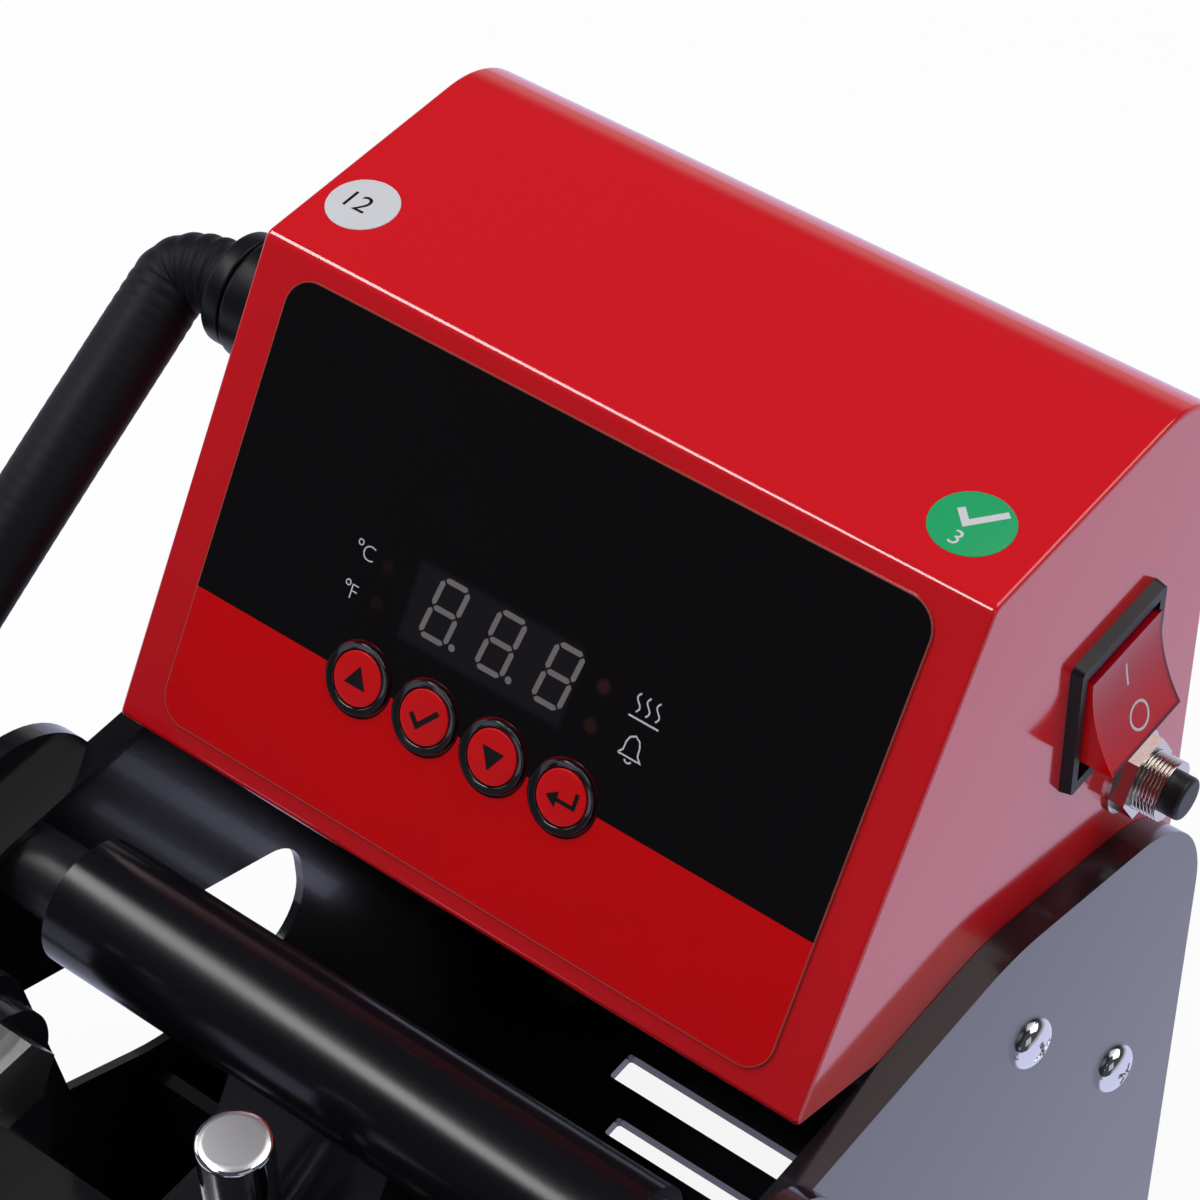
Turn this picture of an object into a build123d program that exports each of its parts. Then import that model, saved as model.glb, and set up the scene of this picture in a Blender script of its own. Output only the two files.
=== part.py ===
"""Narrow clamshell heat press for caps, in millimetres, +Z up, standing on the table at Z = 0.

The frame is two flanged side plates with a control box between their tops. A jaw with the
heated platen turns on a shaft through the plates' upper noses. A lever shaft through the lower
noses carries two cranks, and two hooked links join the cranks to the jaw: pulled forward, the
lever takes the cranks to the bottom of their turn and draws the jaw down.
Most profiles are drawn side-on, in Y (back) and Z (up), and extruded across the press in X.
Places in Y and Z are measured from the front bottom edge of the control box.
"""
from build123d import *
from math import atan2, cos, degrees, radians, sin, sqrt
import os

os.makedirs("parts", exist_ok=True)

# Where the control box stands
box_front_y = 94.2
box_base_z = 190.0

# Sheet and fits
plate_thickness = 2.0
box_sheet = 1.2
running_gap = 0.05
bolt_gap = 0.1

# Side plates
spacer_length = 4.0
flange_width = 5.9
plate_rear = 125.0
plate_front = 178.0
plate_foot = 181.0
toe_height = 23.0
top_drop = 8.0
throat_front_height = 46.5
throat_rear = 44.0

# Base plate and its two vents
base_plate_thickness = 3.0
rear_vent_y = 93.8
rear_vent_length = 74.4
rear_vent_width = 7.7
front_vent_y = 79.6
front_vent_length = 57.4
front_vent_width = 5.2

# Jaw hinge
hinge_ahead = 25.0
hinge_below = 18.0
hinge_shaft_radius = 6.0
hinge_tube_radius = 12.5
hinge_tube_half = 62.0
bush_radius = 10.0
bush_length = 20.0
doubler_radius = 24.0
doubler_thickness = 4.0
hinge_nut_height = 7.0
washer_thickness = 1.5
hinge_washer_radius = 12.0
hinge_spacer_radius = 7.6
hinge_nut_radius = 10.5

# Lever, cranks and links
link_top_y = -64.0
link_top_z = -14.0
crank_pin_y = -38.0
crank_pin_z = -140.0
crank_length = 24.0
lever_shaft_radius = 7.0
lever_bush_radius = 9.0
link_inside = 54.0
link_thickness = 4.0
crank_inside = 62.0
crank_thickness = 6.0
crank_hub_radius = 13.0
crank_eye_radius = 11.0
link_pin_radius = 5.0
link_head_radius = 13.0
link_neck = 18.0
link_hook_gap = 3.0
open_pivot_gap = 0.3
lever_arm_inside = 100.5
lever_arm_thickness = 6.0
lever_hub_radius = 16.0
lever_arm_length = 95.0
lever_tip_radius = 11.0
lever_angle = 172.0
handle_radius = 7.0
handle_end = 272.0
grip_radius = 15.5
grip_start = 150.0
grip_cap = 3.0

# Platens
press_radius = 95.0
press_top = -78.0
platen_half_width = 70.0
platen_front = -164.0
platen_back = -96.0
pad_thickness = 4.0
platen_gap = 0.3
heater_thickness = 12.0
wool_thickness = 8.2
cover_sheet = 1.5
cover_skirt = -118.0
cover_margin = 4.0
cover_side = 5.0
wool_top = 4.2
carrier_thickness = 4.0
carrier_nut_height = 3.0
carrier_half_width = 28.0
lower_platen_bottom = -118.0
bracket_top = -126.0
bracket_thickness = 10.0
bracket_half_width = 20.0
gusset_depth = 36.0
gusset_reach = 78.0
gusset_toe = 12.0
gusset_thickness = 6.0
bulkhead_y = -5.0
bulkhead_thickness = 3.0
bulkhead_top = -108.0

# Jaw beam, guide post and pressure screw
beam_top = -36.0
beam_thickness = 10.0
beam_half_width = 18.0
beam_front = -150.0
post_y = -54.0
post_top = -6.0
post_radius = 6.75
screw_y = -130.0
screw_radius = 7.0
screw_boss_height = 8.0
screw_boss_radius = 13.0
knob_radius = 23.0
knob_height = 18.0
yoke_thickness = 4.0
ear_inside = 46.0
ear_thickness = 6.0
ear_radius = 12.0

# Control box
box_half_width = 75.7
box_rear = 123.5
box_top = 80.3
box_fold_y = 51.7
box_rear_drop = 43.0
rear_corner_radius = 22.0
fold_radius = 2.5

# Relay and transformer on the box's floor
relay_y = 70.0
relay_length = 58.0
relay_width = 34.0
relay_height = 22.0
transformer_side = 40.0
transformer_height = 30.0

# Panel, in its own plane: x to the right, y up the slope, z out of it
overlay_half_width = 67.4
overlay_low = 5.0
overlay_high = 91.5
overlay_thickness = 0.5
overlay_corner = 5.8
button_first = -29.5
button_pitch = 15.0
button_height = 31.0
button_names = ["up", "ok", "down", "enter"]
button_radius = 4.82
button_hole_radius = 5.1
ring_radius = 6.9
ring_height = 1.6
button_proud = 1.4
button_travel = 1.0
stem_radius = 2.0
display_x = -4.7
display_y = 49.8
display_width = 38.0
display_height = 20.0
display_depth = 8.0
board_depth = 11.0
board_thickness = 1.6
board_low = 14.0
board_high = 84.0
board_half_width = 52.0
switch_height = 3.5
lamp_radius = 1.5
lamp_places = [(-30.9, 51.9), (-30.9, 45.0), (15.9, 52.1), (15.9, 44.8)]

# Switch, breaker, gland and inlet, at places on the box
rocker_y = 91.1
rocker_z = 27.5
bezel_width = 27.4
bezel_height = 32.0
bezel_thickness = 2.2
switch_body_width = 25.4
switch_body_height = 28.0
switch_body_depth = 22.0
rocker_width = 21.8
rocker_gap = 0.5
rocker_well = 12.0
rocker_well_height = 26.0
rocker_half_length = 10.25
rocker_face = 6.5
rocker_hollow = 1.4
rocker_tilt = 16.0
rocker_pivot_depth = 0.4
trunnion_radius = 1.5
trunnion_length = 1.0
breaker_y = 103.3
breaker_z = -5.9
breaker_radius = 5.95
breaker_proud = 8.8
breaker_button_radius = 4.25
breaker_button_proud = 3.5
breaker_travel = 2.0
breaker_nut_height = 3.0
gland_y = 56.0
gland_z = 57.5
gland_thread_radius = 9.0
gland_collar_radius = 11.6
gland_collar_length = 8.0
gland_groove_radius = 9.8
gland_groove_length = 0.8
gland_cap_radius = 10.8
gland_cap_length = 4.0
hose_radius = 7.0
hose_valley_radius = 6.1
hose_bore_radius = 5.0
hose_rib_pitch = 6.0
hose_turn_x = 101.5
hose_out_x = 112.0
platen_gland_y = -130.0
platen_gland_z = -100.0
inlet_x = -32.0
inlet_z = 8.0
inlet_width = 27.0
inlet_height = 19.0
inlet_depth = 24.0

# Feet and fasteners
foot_x = 62.0
foot_front = -160.0
foot_rear = 105.0
foot_radius = 11.0
m5_radius = 2.5
m6_radius = 3.0
m6_head_radius = 6.0
m6_head_height = 3.4
m6_nut_radius = 5.8
m6_nut_height = 5.0
ear_screw_y = 65.6
ear_screw_z = -42.2
tie_y = 100.0
tie_z = -87.7
tie_radius = 8.0

# Worked-out sizes and places
plate_inside = box_half_width + spacer_length
plate_outside = plate_inside + plate_thickness
cover_radius = press_radius + platen_gap + heater_thickness + wool_thickness + cover_sheet
cover_half_width = platen_half_width + cover_side
carrier_top = press_top + platen_gap + heater_thickness + wool_top + cover_sheet + carrier_thickness
foot_height = box_base_z - plate_foot
hinge_y = box_front_y - hinge_ahead
hinge_z = box_base_z - hinge_below
link_y = box_front_y + link_top_y
link_z = box_base_z + link_top_z
pin_y = box_front_y + crank_pin_y
pin_z = box_base_z + crank_pin_z
link_run = sqrt((pin_y - link_y) ** 2 + (pin_z - link_z) ** 2)
lever_y = pin_y - crank_length * (pin_y - link_y) / link_run
lever_z = pin_z - crank_length * (pin_z - link_z) / link_run
press_axis_z = box_base_z + press_top - press_radius
gland_reach = gland_collar_length + gland_groove_length + gland_cap_length
panel_lean = atan2(box_fold_y, box_top)
panel_plane = Plane(
    origin=(0, box_front_y, box_base_z),
    x_dir=(1, 0, 0),
    z_dir=(0, -cos(panel_lean), sin(panel_lean)),
)
written = []


def at(y, z):
    """A point of the side view, measured from the box's front bottom edge."""
    return (box_front_y + y, box_base_z + z)


def side(x):
    """The side-on plane at x: its own x is Y and its own y is Z."""
    return Plane.YZ.offset(x)


def write(holder, label):
    holder.part.label = label
    export_step(holder.part, f"parts/{label}.step")
    written.append(label)


def front(y):
    """The plane that faces forward at y: its own x is X and its own y is Z."""
    return Plane(origin=(0, box_front_y + y, 0), x_dir=(1, 0, 0), z_dir=(0, -1, 0))


def plate_outline():
    """Closed side view of a side plate: upper nose, throat, lower nose and toe."""
    corners = [
        (plate_rear, -plate_foot, 4),
        (plate_rear, -29, 35),
        (57, -top_drop, 60),
        (-47, -top_drop, 18),
        (-47, -throat_front_height, 7),
        (throat_rear, -80, 12),
        (throat_rear, -107.5, 13),
        (3, -104, 60),
        (-40, -83, 20),
        (-72, -92, 22),
        (-66, -plate_foot + toe_height, 20),
        (-plate_front, -plate_foot + toe_height, 6),
        (-plate_front, -plate_foot, 4),
    ]
    with BuildLine() as line:
        FilletPolyline(
            *[at(y, z) for y, z, r in corners], radius=[r for y, z, r in corners], close=True
        )
    return line.line


def make_side_plate(sign, label):
    with BuildPart() as plate:
        with BuildSketch(side(sign * plate_outside)):
            with BuildLine():
                add(plate_outline())
            make_face()
        extrude(amount=-sign * plate_thickness)
        # The flange turns in along the top, the upper nose and the rear edge.
        with BuildSketch(side(sign * plate_inside)):
            with BuildLine():
                add(plate_outline())
            make_face()
            with BuildSketch(mode=Mode.PRIVATE) as inner:
                with BuildLine():
                    add(plate_outline())
                make_face()
                offset(amount=-plate_thickness, kind=Kind.INTERSECTION)
            add(inner.sketch, mode=Mode.SUBTRACT)
            with Locations(at(-138, -127)):
                Rectangle(400, 200, mode=Mode.SUBTRACT)
            with Locations(at(60, -plate_foot)):
                Rectangle(400, 6, mode=Mode.SUBTRACT)
        extrude(amount=-sign * (flange_width - plate_thickness))
        # Welded on: the disc that thickens the nose, and the spacers that hold the box's ears.
        with BuildSketch(side(sign * plate_outside)):
            with Locations((hinge_y, hinge_z)):
                Circle(doubler_radius)
        extrude(amount=sign * doubler_thickness)
        with BuildSketch(side(sign * plate_inside)):
            with Locations(*screw_places()):
                Circle(m6_radius + 3)
        extrude(amount=-sign * (plate_inside - box_half_width))
        with BuildSketch(side(0)):
            with Locations((hinge_y, hinge_z)):
                Circle(hinge_shaft_radius + running_gap)
            with Locations((lever_y, lever_z)):
                Circle(lever_bush_radius)
            with Locations(*screw_places()):
                Circle(m6_radius + bolt_gap)
        extrude(amount=sign * 100, mode=Mode.SUBTRACT)
    write(plate, label)


def screw_places():
    return [at(ear_screw_y, ear_screw_z), at(tie_y, tie_z)]


def make_base_plate():
    top = box_base_z - plate_foot
    with BuildPart() as plate:
        with BuildSketch(Plane.XY.offset(top)):
            with Locations((0, box_front_y + (plate_rear - plate_front) / 2)):
                Rectangle(2 * plate_inside, plate_rear + plate_front - 2 * plate_thickness)
            with Locations((0, box_front_y + rear_vent_y)):
                RectangleRounded(rear_vent_length, rear_vent_width, 0.8, mode=Mode.SUBTRACT)
            with Locations((0, box_front_y + front_vent_y)):
                RectangleRounded(front_vent_length, front_vent_width, 0.8, mode=Mode.SUBTRACT)
            with Locations(*foot_places()):
                Circle(m5_radius + bolt_gap, mode=Mode.SUBTRACT)
        extrude(amount=base_plate_thickness)
    write(plate, "base_plate")


def foot_places():
    return [
        (x, box_front_y + y) for x in (-foot_x, foot_x) for y in (foot_front, foot_rear)
    ]


def make_feet():
    with BuildPart() as feet:
        with Locations(*[(x, y, 0) for x, y in foot_places()]):
            Cone(foot_radius, foot_radius - 1.5, foot_height, align=(Align.CENTER, Align.CENTER, Align.MIN))
        fillet(feet.faces().sort_by(Axis.Z)[0:4].edges(), 0.8)
        with Locations(*[(x, y, foot_height) for x, y in foot_places()]):
            Hole(m5_radius + bolt_gap)
        with Locations(*[(x, y, 0) for x, y in foot_places()]):
            Cylinder(5.2, 4.2, align=(Align.CENTER, Align.CENTER, Align.MIN), mode=Mode.SUBTRACT)
    write(feet, "rubber_feet")
    head_top = 4.2
    with BuildPart() as screws:
        for x, y in foot_places():
            with BuildSketch(Plane.XY.offset(head_top)):
                with Locations((x, y)):
                    Circle(4.6)
            extrude(amount=-3)
            with BuildSketch(Plane.XY.offset(head_top)):
                with Locations((x, y)):
                    Circle(m5_radius)
            extrude(amount=foot_height - head_top + 3 + 5)
            with BuildSketch(Plane.XY.offset(foot_height + 3)):
                with Locations((x, y)):
                    RegularPolygon(4.6, 6)
            extrude(amount=4)
    write(screws, "foot_screws")


def make_bulkhead():
    low = box_base_z - plate_foot + base_plate_thickness
    high = box_base_z + bulkhead_top
    with BuildPart() as bulkhead:
        with BuildSketch(front(bulkhead_y)):
            with Locations((0, (low + high) / 2)):
                Rectangle(2 * plate_inside, high - low)
            with Locations((-52, (low + high) / 2), (52, (low + high) / 2)):
                Circle(15, mode=Mode.SUBTRACT)
        extrude(amount=-bulkhead_thickness)
    write(bulkhead, "bulkhead")


def make_lower_bracket():
    top = box_base_z + bracket_top
    bottom = top - bracket_thickness
    reach = bulkhead_y - beam_front + 4
    with BuildPart() as bracket:
        with BuildSketch(Plane.XY.offset(top)):
            with Locations((0, box_front_y + bulkhead_y - reach / 2)):
                RectangleRounded(2 * bracket_half_width, reach, 1)
        extrude(amount=-bracket_thickness)
        with BuildSketch(side(-gusset_thickness / 2)):
            with BuildLine():
                Polyline(
                    (box_front_y + bulkhead_y, bottom),
                    (box_front_y + bulkhead_y, bottom - gusset_depth),
                    (box_front_y + bulkhead_y - gusset_toe, bottom - gusset_depth),
                    (box_front_y + bulkhead_y - gusset_reach, bottom),
                    close=True,
                )
            make_face()
        extrude(amount=gusset_thickness)
        with BuildSketch(Plane.XY.offset(top)):
            with Locations((0, box_front_y + screw_y)):
                Circle(17)
        extrude(amount=lower_platen_bottom - bracket_top)
        with Locations((0, box_front_y + screw_y, top)):
            Hole(4 + bolt_gap)
    write(bracket, "lower_bracket")


def arch(radius, half_width, floor_z):
    """Region under an arc about the platens' axis, cut at the sides and at its floor."""
    edge_z = press_axis_z + sqrt(radius**2 - half_width**2)
    with BuildSketch(mode=Mode.PRIVATE) as region:
        with BuildLine():
            ThreePointArc(
                (-half_width, edge_z), (0, press_axis_z + radius), (half_width, edge_z)
            )
            Polyline(
                (half_width, edge_z),
                (half_width, floor_z),
                (-half_width, floor_z),
                (-half_width, edge_z),
            )
        make_face()
    return region.sketch


def make_lower_platen():
    pad_inside = press_radius - pad_thickness
    bottom = box_base_z + lower_platen_bottom
    length = platen_back - platen_front
    mid_y = box_front_y + screw_y
    with BuildPart() as platen:
        with BuildSketch(front(platen_back)):
            add(arch(pad_inside, platen_half_width - 3, bottom))
        extrude(amount=length)
        with BuildSketch(front(platen_back - 5)):
            add(arch(pad_inside - 8, platen_half_width - 11, bottom - 1))
        extrude(amount=length - 10, mode=Mode.SUBTRACT)
        with BuildSketch(Plane.XY.offset(bottom)):
            with Locations((0, mid_y)):
                Circle(18)
        extrude(amount=pad_inside + press_axis_z - 6 - bottom)
        with BuildSketch(front(platen_back - 5)):
            with Locations((-30, bottom + 14), (30, bottom + 14)):
                Rectangle(4, 28)
        extrude(amount=length - 10)
        with BuildSketch(front(platen_back)):
            add(arch(press_radius + 60, 150, bottom - 40))
            add(arch(pad_inside, platen_half_width - 3, bottom), mode=Mode.SUBTRACT)
        extrude(amount=length, mode=Mode.SUBTRACT)
        with Locations((0, mid_y, bottom)):
            Cylinder(4, 24, align=(Align.CENTER, Align.CENTER, Align.CENTER), mode=Mode.SUBTRACT)
    write(platen, "lower_platen")
    with BuildPart() as pad:
        with BuildSketch(front(platen_back)):
            add(arch(press_radius, platen_half_width, bottom - 2))
            add(arch(pad_inside, platen_half_width + 3, bottom - 10), mode=Mode.SUBTRACT)
            with Locations((0, bottom - 50)):
                Rectangle(300, 100, mode=Mode.SUBTRACT)
        extrude(amount=length)
    write(pad, "silicone_pad")
    bolt_low = box_base_z + bracket_top - bracket_thickness
    with BuildPart() as bolt:
        with BuildSketch(Plane.XY.offset(bolt_low)):
            with Locations((0, mid_y)):
                RegularPolygon(7.5, 6)
        extrude(amount=-5)
        with BuildSketch(Plane.XY.offset(bolt_low)):
            with Locations((0, mid_y)):
                Circle(4 - running_gap)
        extrude(amount=bottom - bolt_low + 10)
    write(bolt, "platen_bolt")


def make_rear_parts():
    low = box_base_z - plate_foot + base_plate_thickness + 2
    high = box_base_z - box_rear_drop - 12
    with BuildPart() as cover:
        with BuildSketch(front(plate_rear - plate_thickness)):
            with Locations((0, (low + high) / 2)):
                Rectangle(2 * plate_inside, high - low)
            with GridLocations(0, 11, 1, 5):
                with Locations((0, low + 62)):
                    SlotOverall(84, 4, mode=Mode.SUBTRACT)
        extrude(amount=1.5)
    write(cover, "rear_cover")
    with BuildPart() as bar:
        with BuildSketch(side(-box_half_width + box_sheet)):
            with Locations(at(tie_y, tie_z)):
                Circle(tie_radius)
                Circle(m6_radius + running_gap, mode=Mode.SUBTRACT)
        extrude(amount=2 * (box_half_width - box_sheet))
    write(bar, "rear_tie_bar")


def make_plate_screws():
    """Pan-head screws through plate, spacer and the box's ear, the front ones into nuts."""
    with BuildPart() as screws:
        for sign in (1, -1):
            for y, z in screw_places():
                with BuildSketch(side(sign * plate_outside)):
                    with Locations((y, z)):
                        Circle(m6_head_radius)
                extrude(amount=sign * m6_head_height)
                with BuildSketch(side(sign * plate_outside)):
                    with Locations((y, z)):
                        Circle(m6_radius)
                extrude(amount=-sign * 16)
            with BuildSketch(side(sign * (box_half_width - box_sheet))):
                with Locations(at(ear_screw_y, ear_screw_z)):
                    RegularPolygon(m6_nut_radius, 6)
            extrude(amount=-sign * m6_nut_height)
        rims = screws.edges().filter_by(GeomType.CIRCLE).group_by(Axis.X)
        fillet(rims[0] + rims[-1], 2.2)
    write(screws, "plate_screws")


def make_hinge():
    end = plate_outside + doubler_thickness + washer_thickness + hinge_nut_height + 1.5
    with BuildPart() as shaft:
        with BuildSketch(side(-end)):
            with Locations((hinge_y, hinge_z)):
                Circle(hinge_shaft_radius)
        extrude(amount=2 * end)
        chamfer(shaft.edges().filter_by(GeomType.CIRCLE), 0.8)
    write(shaft, "hinge_shaft")
    with BuildPart() as spacers:
        for sign in (1, -1):
            with BuildSketch(side(sign * plate_inside)):
                with Locations((hinge_y, hinge_z)):
                    Circle(hinge_spacer_radius)
                    Circle(hinge_shaft_radius + running_gap, mode=Mode.SUBTRACT)
            extrude(amount=-sign * (plate_inside - hinge_tube_half - 0.3))
    write(spacers, "hinge_spacers")
    with BuildPart() as nuts:
        for sign in (1, -1):
            seat = plate_outside + doubler_thickness
            with BuildSketch(side(sign * seat)):
                with Locations((hinge_y, hinge_z)):
                    Circle(hinge_washer_radius)
                    Circle(hinge_shaft_radius + running_gap, mode=Mode.SUBTRACT)
            extrude(amount=sign * washer_thickness)
            with BuildSketch(side(sign * (seat + washer_thickness))):
                with Locations((hinge_y, hinge_z)):
                    RegularPolygon(hinge_nut_radius, 6)
                    Circle(hinge_shaft_radius + running_gap, mode=Mode.SUBTRACT)
            extrude(amount=sign * hinge_nut_height)
    write(nuts, "hinge_nuts")
    with BuildPart() as tube:
        with BuildSketch(side(-hinge_tube_half)):
            with Locations((hinge_y, hinge_z)):
                Circle(hinge_tube_radius)
                Circle(bush_radius, mode=Mode.SUBTRACT)
        extrude(amount=2 * hinge_tube_half)
    write(tube, "hinge_tube")
    with BuildPart() as bushes:
        for sign in (1, -1):
            with BuildSketch(side(sign * hinge_tube_half)):
                with Locations((hinge_y, hinge_z)):
                    Circle(bush_radius)
                    Circle(hinge_shaft_radius + running_gap, mode=Mode.SUBTRACT)
            extrude(amount=-sign * bush_length)
    write(bushes, "hinge_bushes")


def make_jaw():
    top = box_base_z + beam_top
    bottom = top - beam_thickness
    with BuildPart() as beam:
        with BuildSketch(side(-beam_half_width)):
            with BuildLine():
                Polyline(
                    (hinge_y + 12, bottom + 8),
                    (hinge_y + 9, hinge_z),
                    (hinge_y - 11, hinge_z - 1),
                    (hinge_y - 22, top),
                    (box_front_y + beam_front, top),
                    (box_front_y + beam_front, bottom),
                    (hinge_y + 4, bottom),
                    close=True,
                )
            make_face()
            with Locations((hinge_y, hinge_z)):
                Circle(hinge_tube_radius, mode=Mode.SUBTRACT)
        extrude(amount=2 * beam_half_width)
        keep = beam.solids().sort_by(SortBy.VOLUME)[-1]
        add(keep, mode=Mode.INTERSECT)
        with BuildSketch(Plane.XY.offset(top)):
            with Locations((0, box_front_y + screw_y)):
                Circle(screw_boss_radius)
        extrude(amount=screw_boss_height)
        with BuildSketch(Plane.XY.offset(top + screw_boss_height)):
            with Locations((0, box_front_y + screw_y)):
                Circle(screw_radius + running_gap)
            with Locations((0, box_front_y + post_y)):
                Circle(post_radius + running_gap)
        extrude(amount=-60, mode=Mode.SUBTRACT)
        corners = beam.edges().filter_by(Axis.Z).group_by(Axis.Y)[0]
        fillet(corners, 8)
    write(beam, "jaw_beam")
    with BuildPart() as yoke:
        with BuildSketch(Plane.XY.offset(bottom)):
            with Locations((0, link_y - 12)):
                Rectangle(2 * (ear_inside + ear_thickness), 36)
            with Locations((0, box_front_y + post_y)):
                Circle(post_radius + 0.6, mode=Mode.SUBTRACT)
        extrude(amount=-yoke_thickness)
        for sign in (1, -1):
            with BuildSketch(side(sign * (ear_inside + ear_thickness))):
                with BuildLine():
                    Polyline(
                        (link_y - 30, bottom - yoke_thickness),
                        (link_y - 30, bottom),
                        (link_y - ear_radius, link_z),
                        (link_y + ear_radius, link_z),
                        (link_y + 6, bottom - yoke_thickness),
                        close=True,
                    )
                make_face()
                with Locations((link_y, link_z)):
                    Circle(ear_radius)
            extrude(amount=-sign * ear_thickness)
    write(yoke, "jaw_yoke")
    with BuildPart() as pins:
        for sign in (1, -1):
            with BuildSketch(side(sign * (ear_inside + ear_thickness))):
                with Locations((link_y, link_z)):
                    Circle(link_pin_radius + 2)
            extrude(amount=sign * (link_inside - open_pivot_gap - ear_inside - ear_thickness))
            with BuildSketch(side(sign * ear_inside)):
                with Locations((link_y, link_z)):
                    RegularPolygon(8.5, 6)
            extrude(amount=-sign * 5)
    write(pins, "jaw_pins")


def make_carriage():
    top = box_base_z + carrier_top
    seat = top - carrier_thickness
    back = post_y + 11
    length = back - platen_front - 2
    screw_hole = screw_radius + 1.5
    with BuildPart() as carrier:
        with BuildSketch(Plane.XY.offset(seat)):
            with Locations((0, box_front_y + back - length / 2)):
                RectangleRounded(2 * carrier_half_width, length, 6)
            with Locations((0, box_front_y + screw_y)):
                Circle(screw_hole, mode=Mode.SUBTRACT)
        extrude(amount=carrier_thickness)
        with BuildSketch(Plane.XY.offset(top)):
            with Locations((0, box_front_y + screw_y)):
                RegularPolygon(screw_radius + 6.5, 6)
                Circle(screw_radius + running_gap, mode=Mode.SUBTRACT)
        extrude(amount=carrier_nut_height)
    write(carrier, "platen_carrier")
    with BuildPart() as post:
        with BuildSketch(Plane.XY.offset(top)):
            with Locations((0, box_front_y + post_y)):
                Circle(post_radius)
        extrude(amount=post_top - carrier_top)
        fillet(post.edges().group_by(Axis.Z)[-1], 1.0)
    write(post, "guide_post")
    screw_places = [(x, box_front_y + y) for x in (-20, 20) for y in (-100, -156)]
    with BuildPart() as screws:
        with BuildSketch(Plane.XY.offset(top)):
            with Locations(*screw_places):
                Circle(4.5)
        extrude(amount=2.6)
        fillet(screws.edges().group_by(Axis.Z)[-1], 1.2)
    write(screws, "carrier_screws")

    flat_z = seat
    back_y = platen_back + cover_margin
    length = platen_back - platen_front + 2 * cover_margin
    skirt_z = box_base_z + cover_skirt
    with BuildPart() as cover:
        with BuildSketch(front(back_y)):
            add(arch(cover_radius, cover_half_width, skirt_z))
            with Locations((0, flat_z + 20)):
                Rectangle(200, 40, mode=Mode.SUBTRACT)
        extrude(amount=length)
        fillet(cover.edges().filter_by(GeomType.CIRCLE), 2)
        with BuildSketch(front(back_y - cover_sheet)):
            add(arch(cover_radius - cover_sheet, cover_half_width - cover_sheet, skirt_z - 5))
            with Locations((0, flat_z - cover_sheet + 20)):
                Rectangle(200, 40, mode=Mode.SUBTRACT)
        extrude(amount=length - 2 * cover_sheet, mode=Mode.SUBTRACT)
        # The end walls stop at the arch, so that they clear the lower platen as the jaw opens.
        with BuildSketch(front(back_y)):
            add(arch(press_radius + platen_gap, cover_half_width - cover_sheet, skirt_z - 5))
        extrude(amount=length, mode=Mode.SUBTRACT)
        with BuildSketch(Plane.XY.offset(flat_z)):
            with Locations((0, box_front_y + screw_y)):
                Circle(screw_hole)
        extrude(amount=-6, mode=Mode.SUBTRACT)
        with BuildSketch(side(-cover_half_width)):
            with Locations(at(platen_gland_y, platen_gland_z)):
                Circle(gland_thread_radius)
        extrude(amount=3, both=True, mode=Mode.SUBTRACT)
    write(cover, "platen_cover")

    inner = press_radius + platen_gap
    outer = inner + heater_thickness
    cut_z = press_axis_z - 10
    length = platen_back - platen_front
    with BuildPart() as heater:
        with BuildSketch(front(platen_back)):
            add(arch(outer, platen_half_width, cut_z))
            add(arch(inner, platen_half_width + 4, cut_z - 10), mode=Mode.SUBTRACT)
            with Locations((0, box_base_z + cover_skirt - 48)):
                Rectangle(300, 100, mode=Mode.SUBTRACT)
        extrude(amount=length)
    write(heater, "heater_block")
    with BuildPart() as wool:
        with BuildSketch(front(platen_back)):
            add(arch(cover_radius - cover_sheet, platen_half_width - 2, cut_z))
            with Locations((0, flat_z - cover_sheet + 20)):
                Rectangle(200, 40, mode=Mode.SUBTRACT)
            add(arch(outer, platen_half_width + 4, cut_z - 10), mode=Mode.SUBTRACT)
        extrude(amount=length)
        with BuildSketch(Plane.XY.offset(flat_z)):
            with Locations((0, box_front_y + screw_y)):
                Circle(screw_hole)
        extrude(amount=-8, mode=Mode.SUBTRACT)
    write(wool, "insulation")
    make_gland("platen_gland", -cover_half_width, platen_gland_y, platen_gland_z, cover_sheet)


def make_gland(label, wall_x, y, z, wall):
    """Hose gland in a wall that faces -X: thread inside, then collar, groove and cap outside."""
    rings = [
        (gland_collar_length, gland_collar_radius),
        (gland_groove_length, gland_groove_radius),
        (gland_cap_length, gland_cap_radius),
    ]
    with BuildPart() as gland:
        x = wall_x
        for length, radius in rings:
            with BuildSketch(side(x)):
                with Locations(at(y, z)):
                    Circle(radius)
            extrude(amount=-length)
            x -= length
        fillet(gland.edges().group_by(Axis.X)[0], 1.2)
        with BuildSketch(side(wall_x)):
            with Locations(at(y, z)):
                Circle(gland_thread_radius - running_gap)
        extrude(amount=wall + 2)
        with BuildSketch(side(wall_x + wall + 2)):
            with Locations(at(y, z)):
                Circle(hose_bore_radius)
        extrude(amount=-gland_reach - wall - 2, mode=Mode.SUBTRACT)
    write(gland, label)


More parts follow.
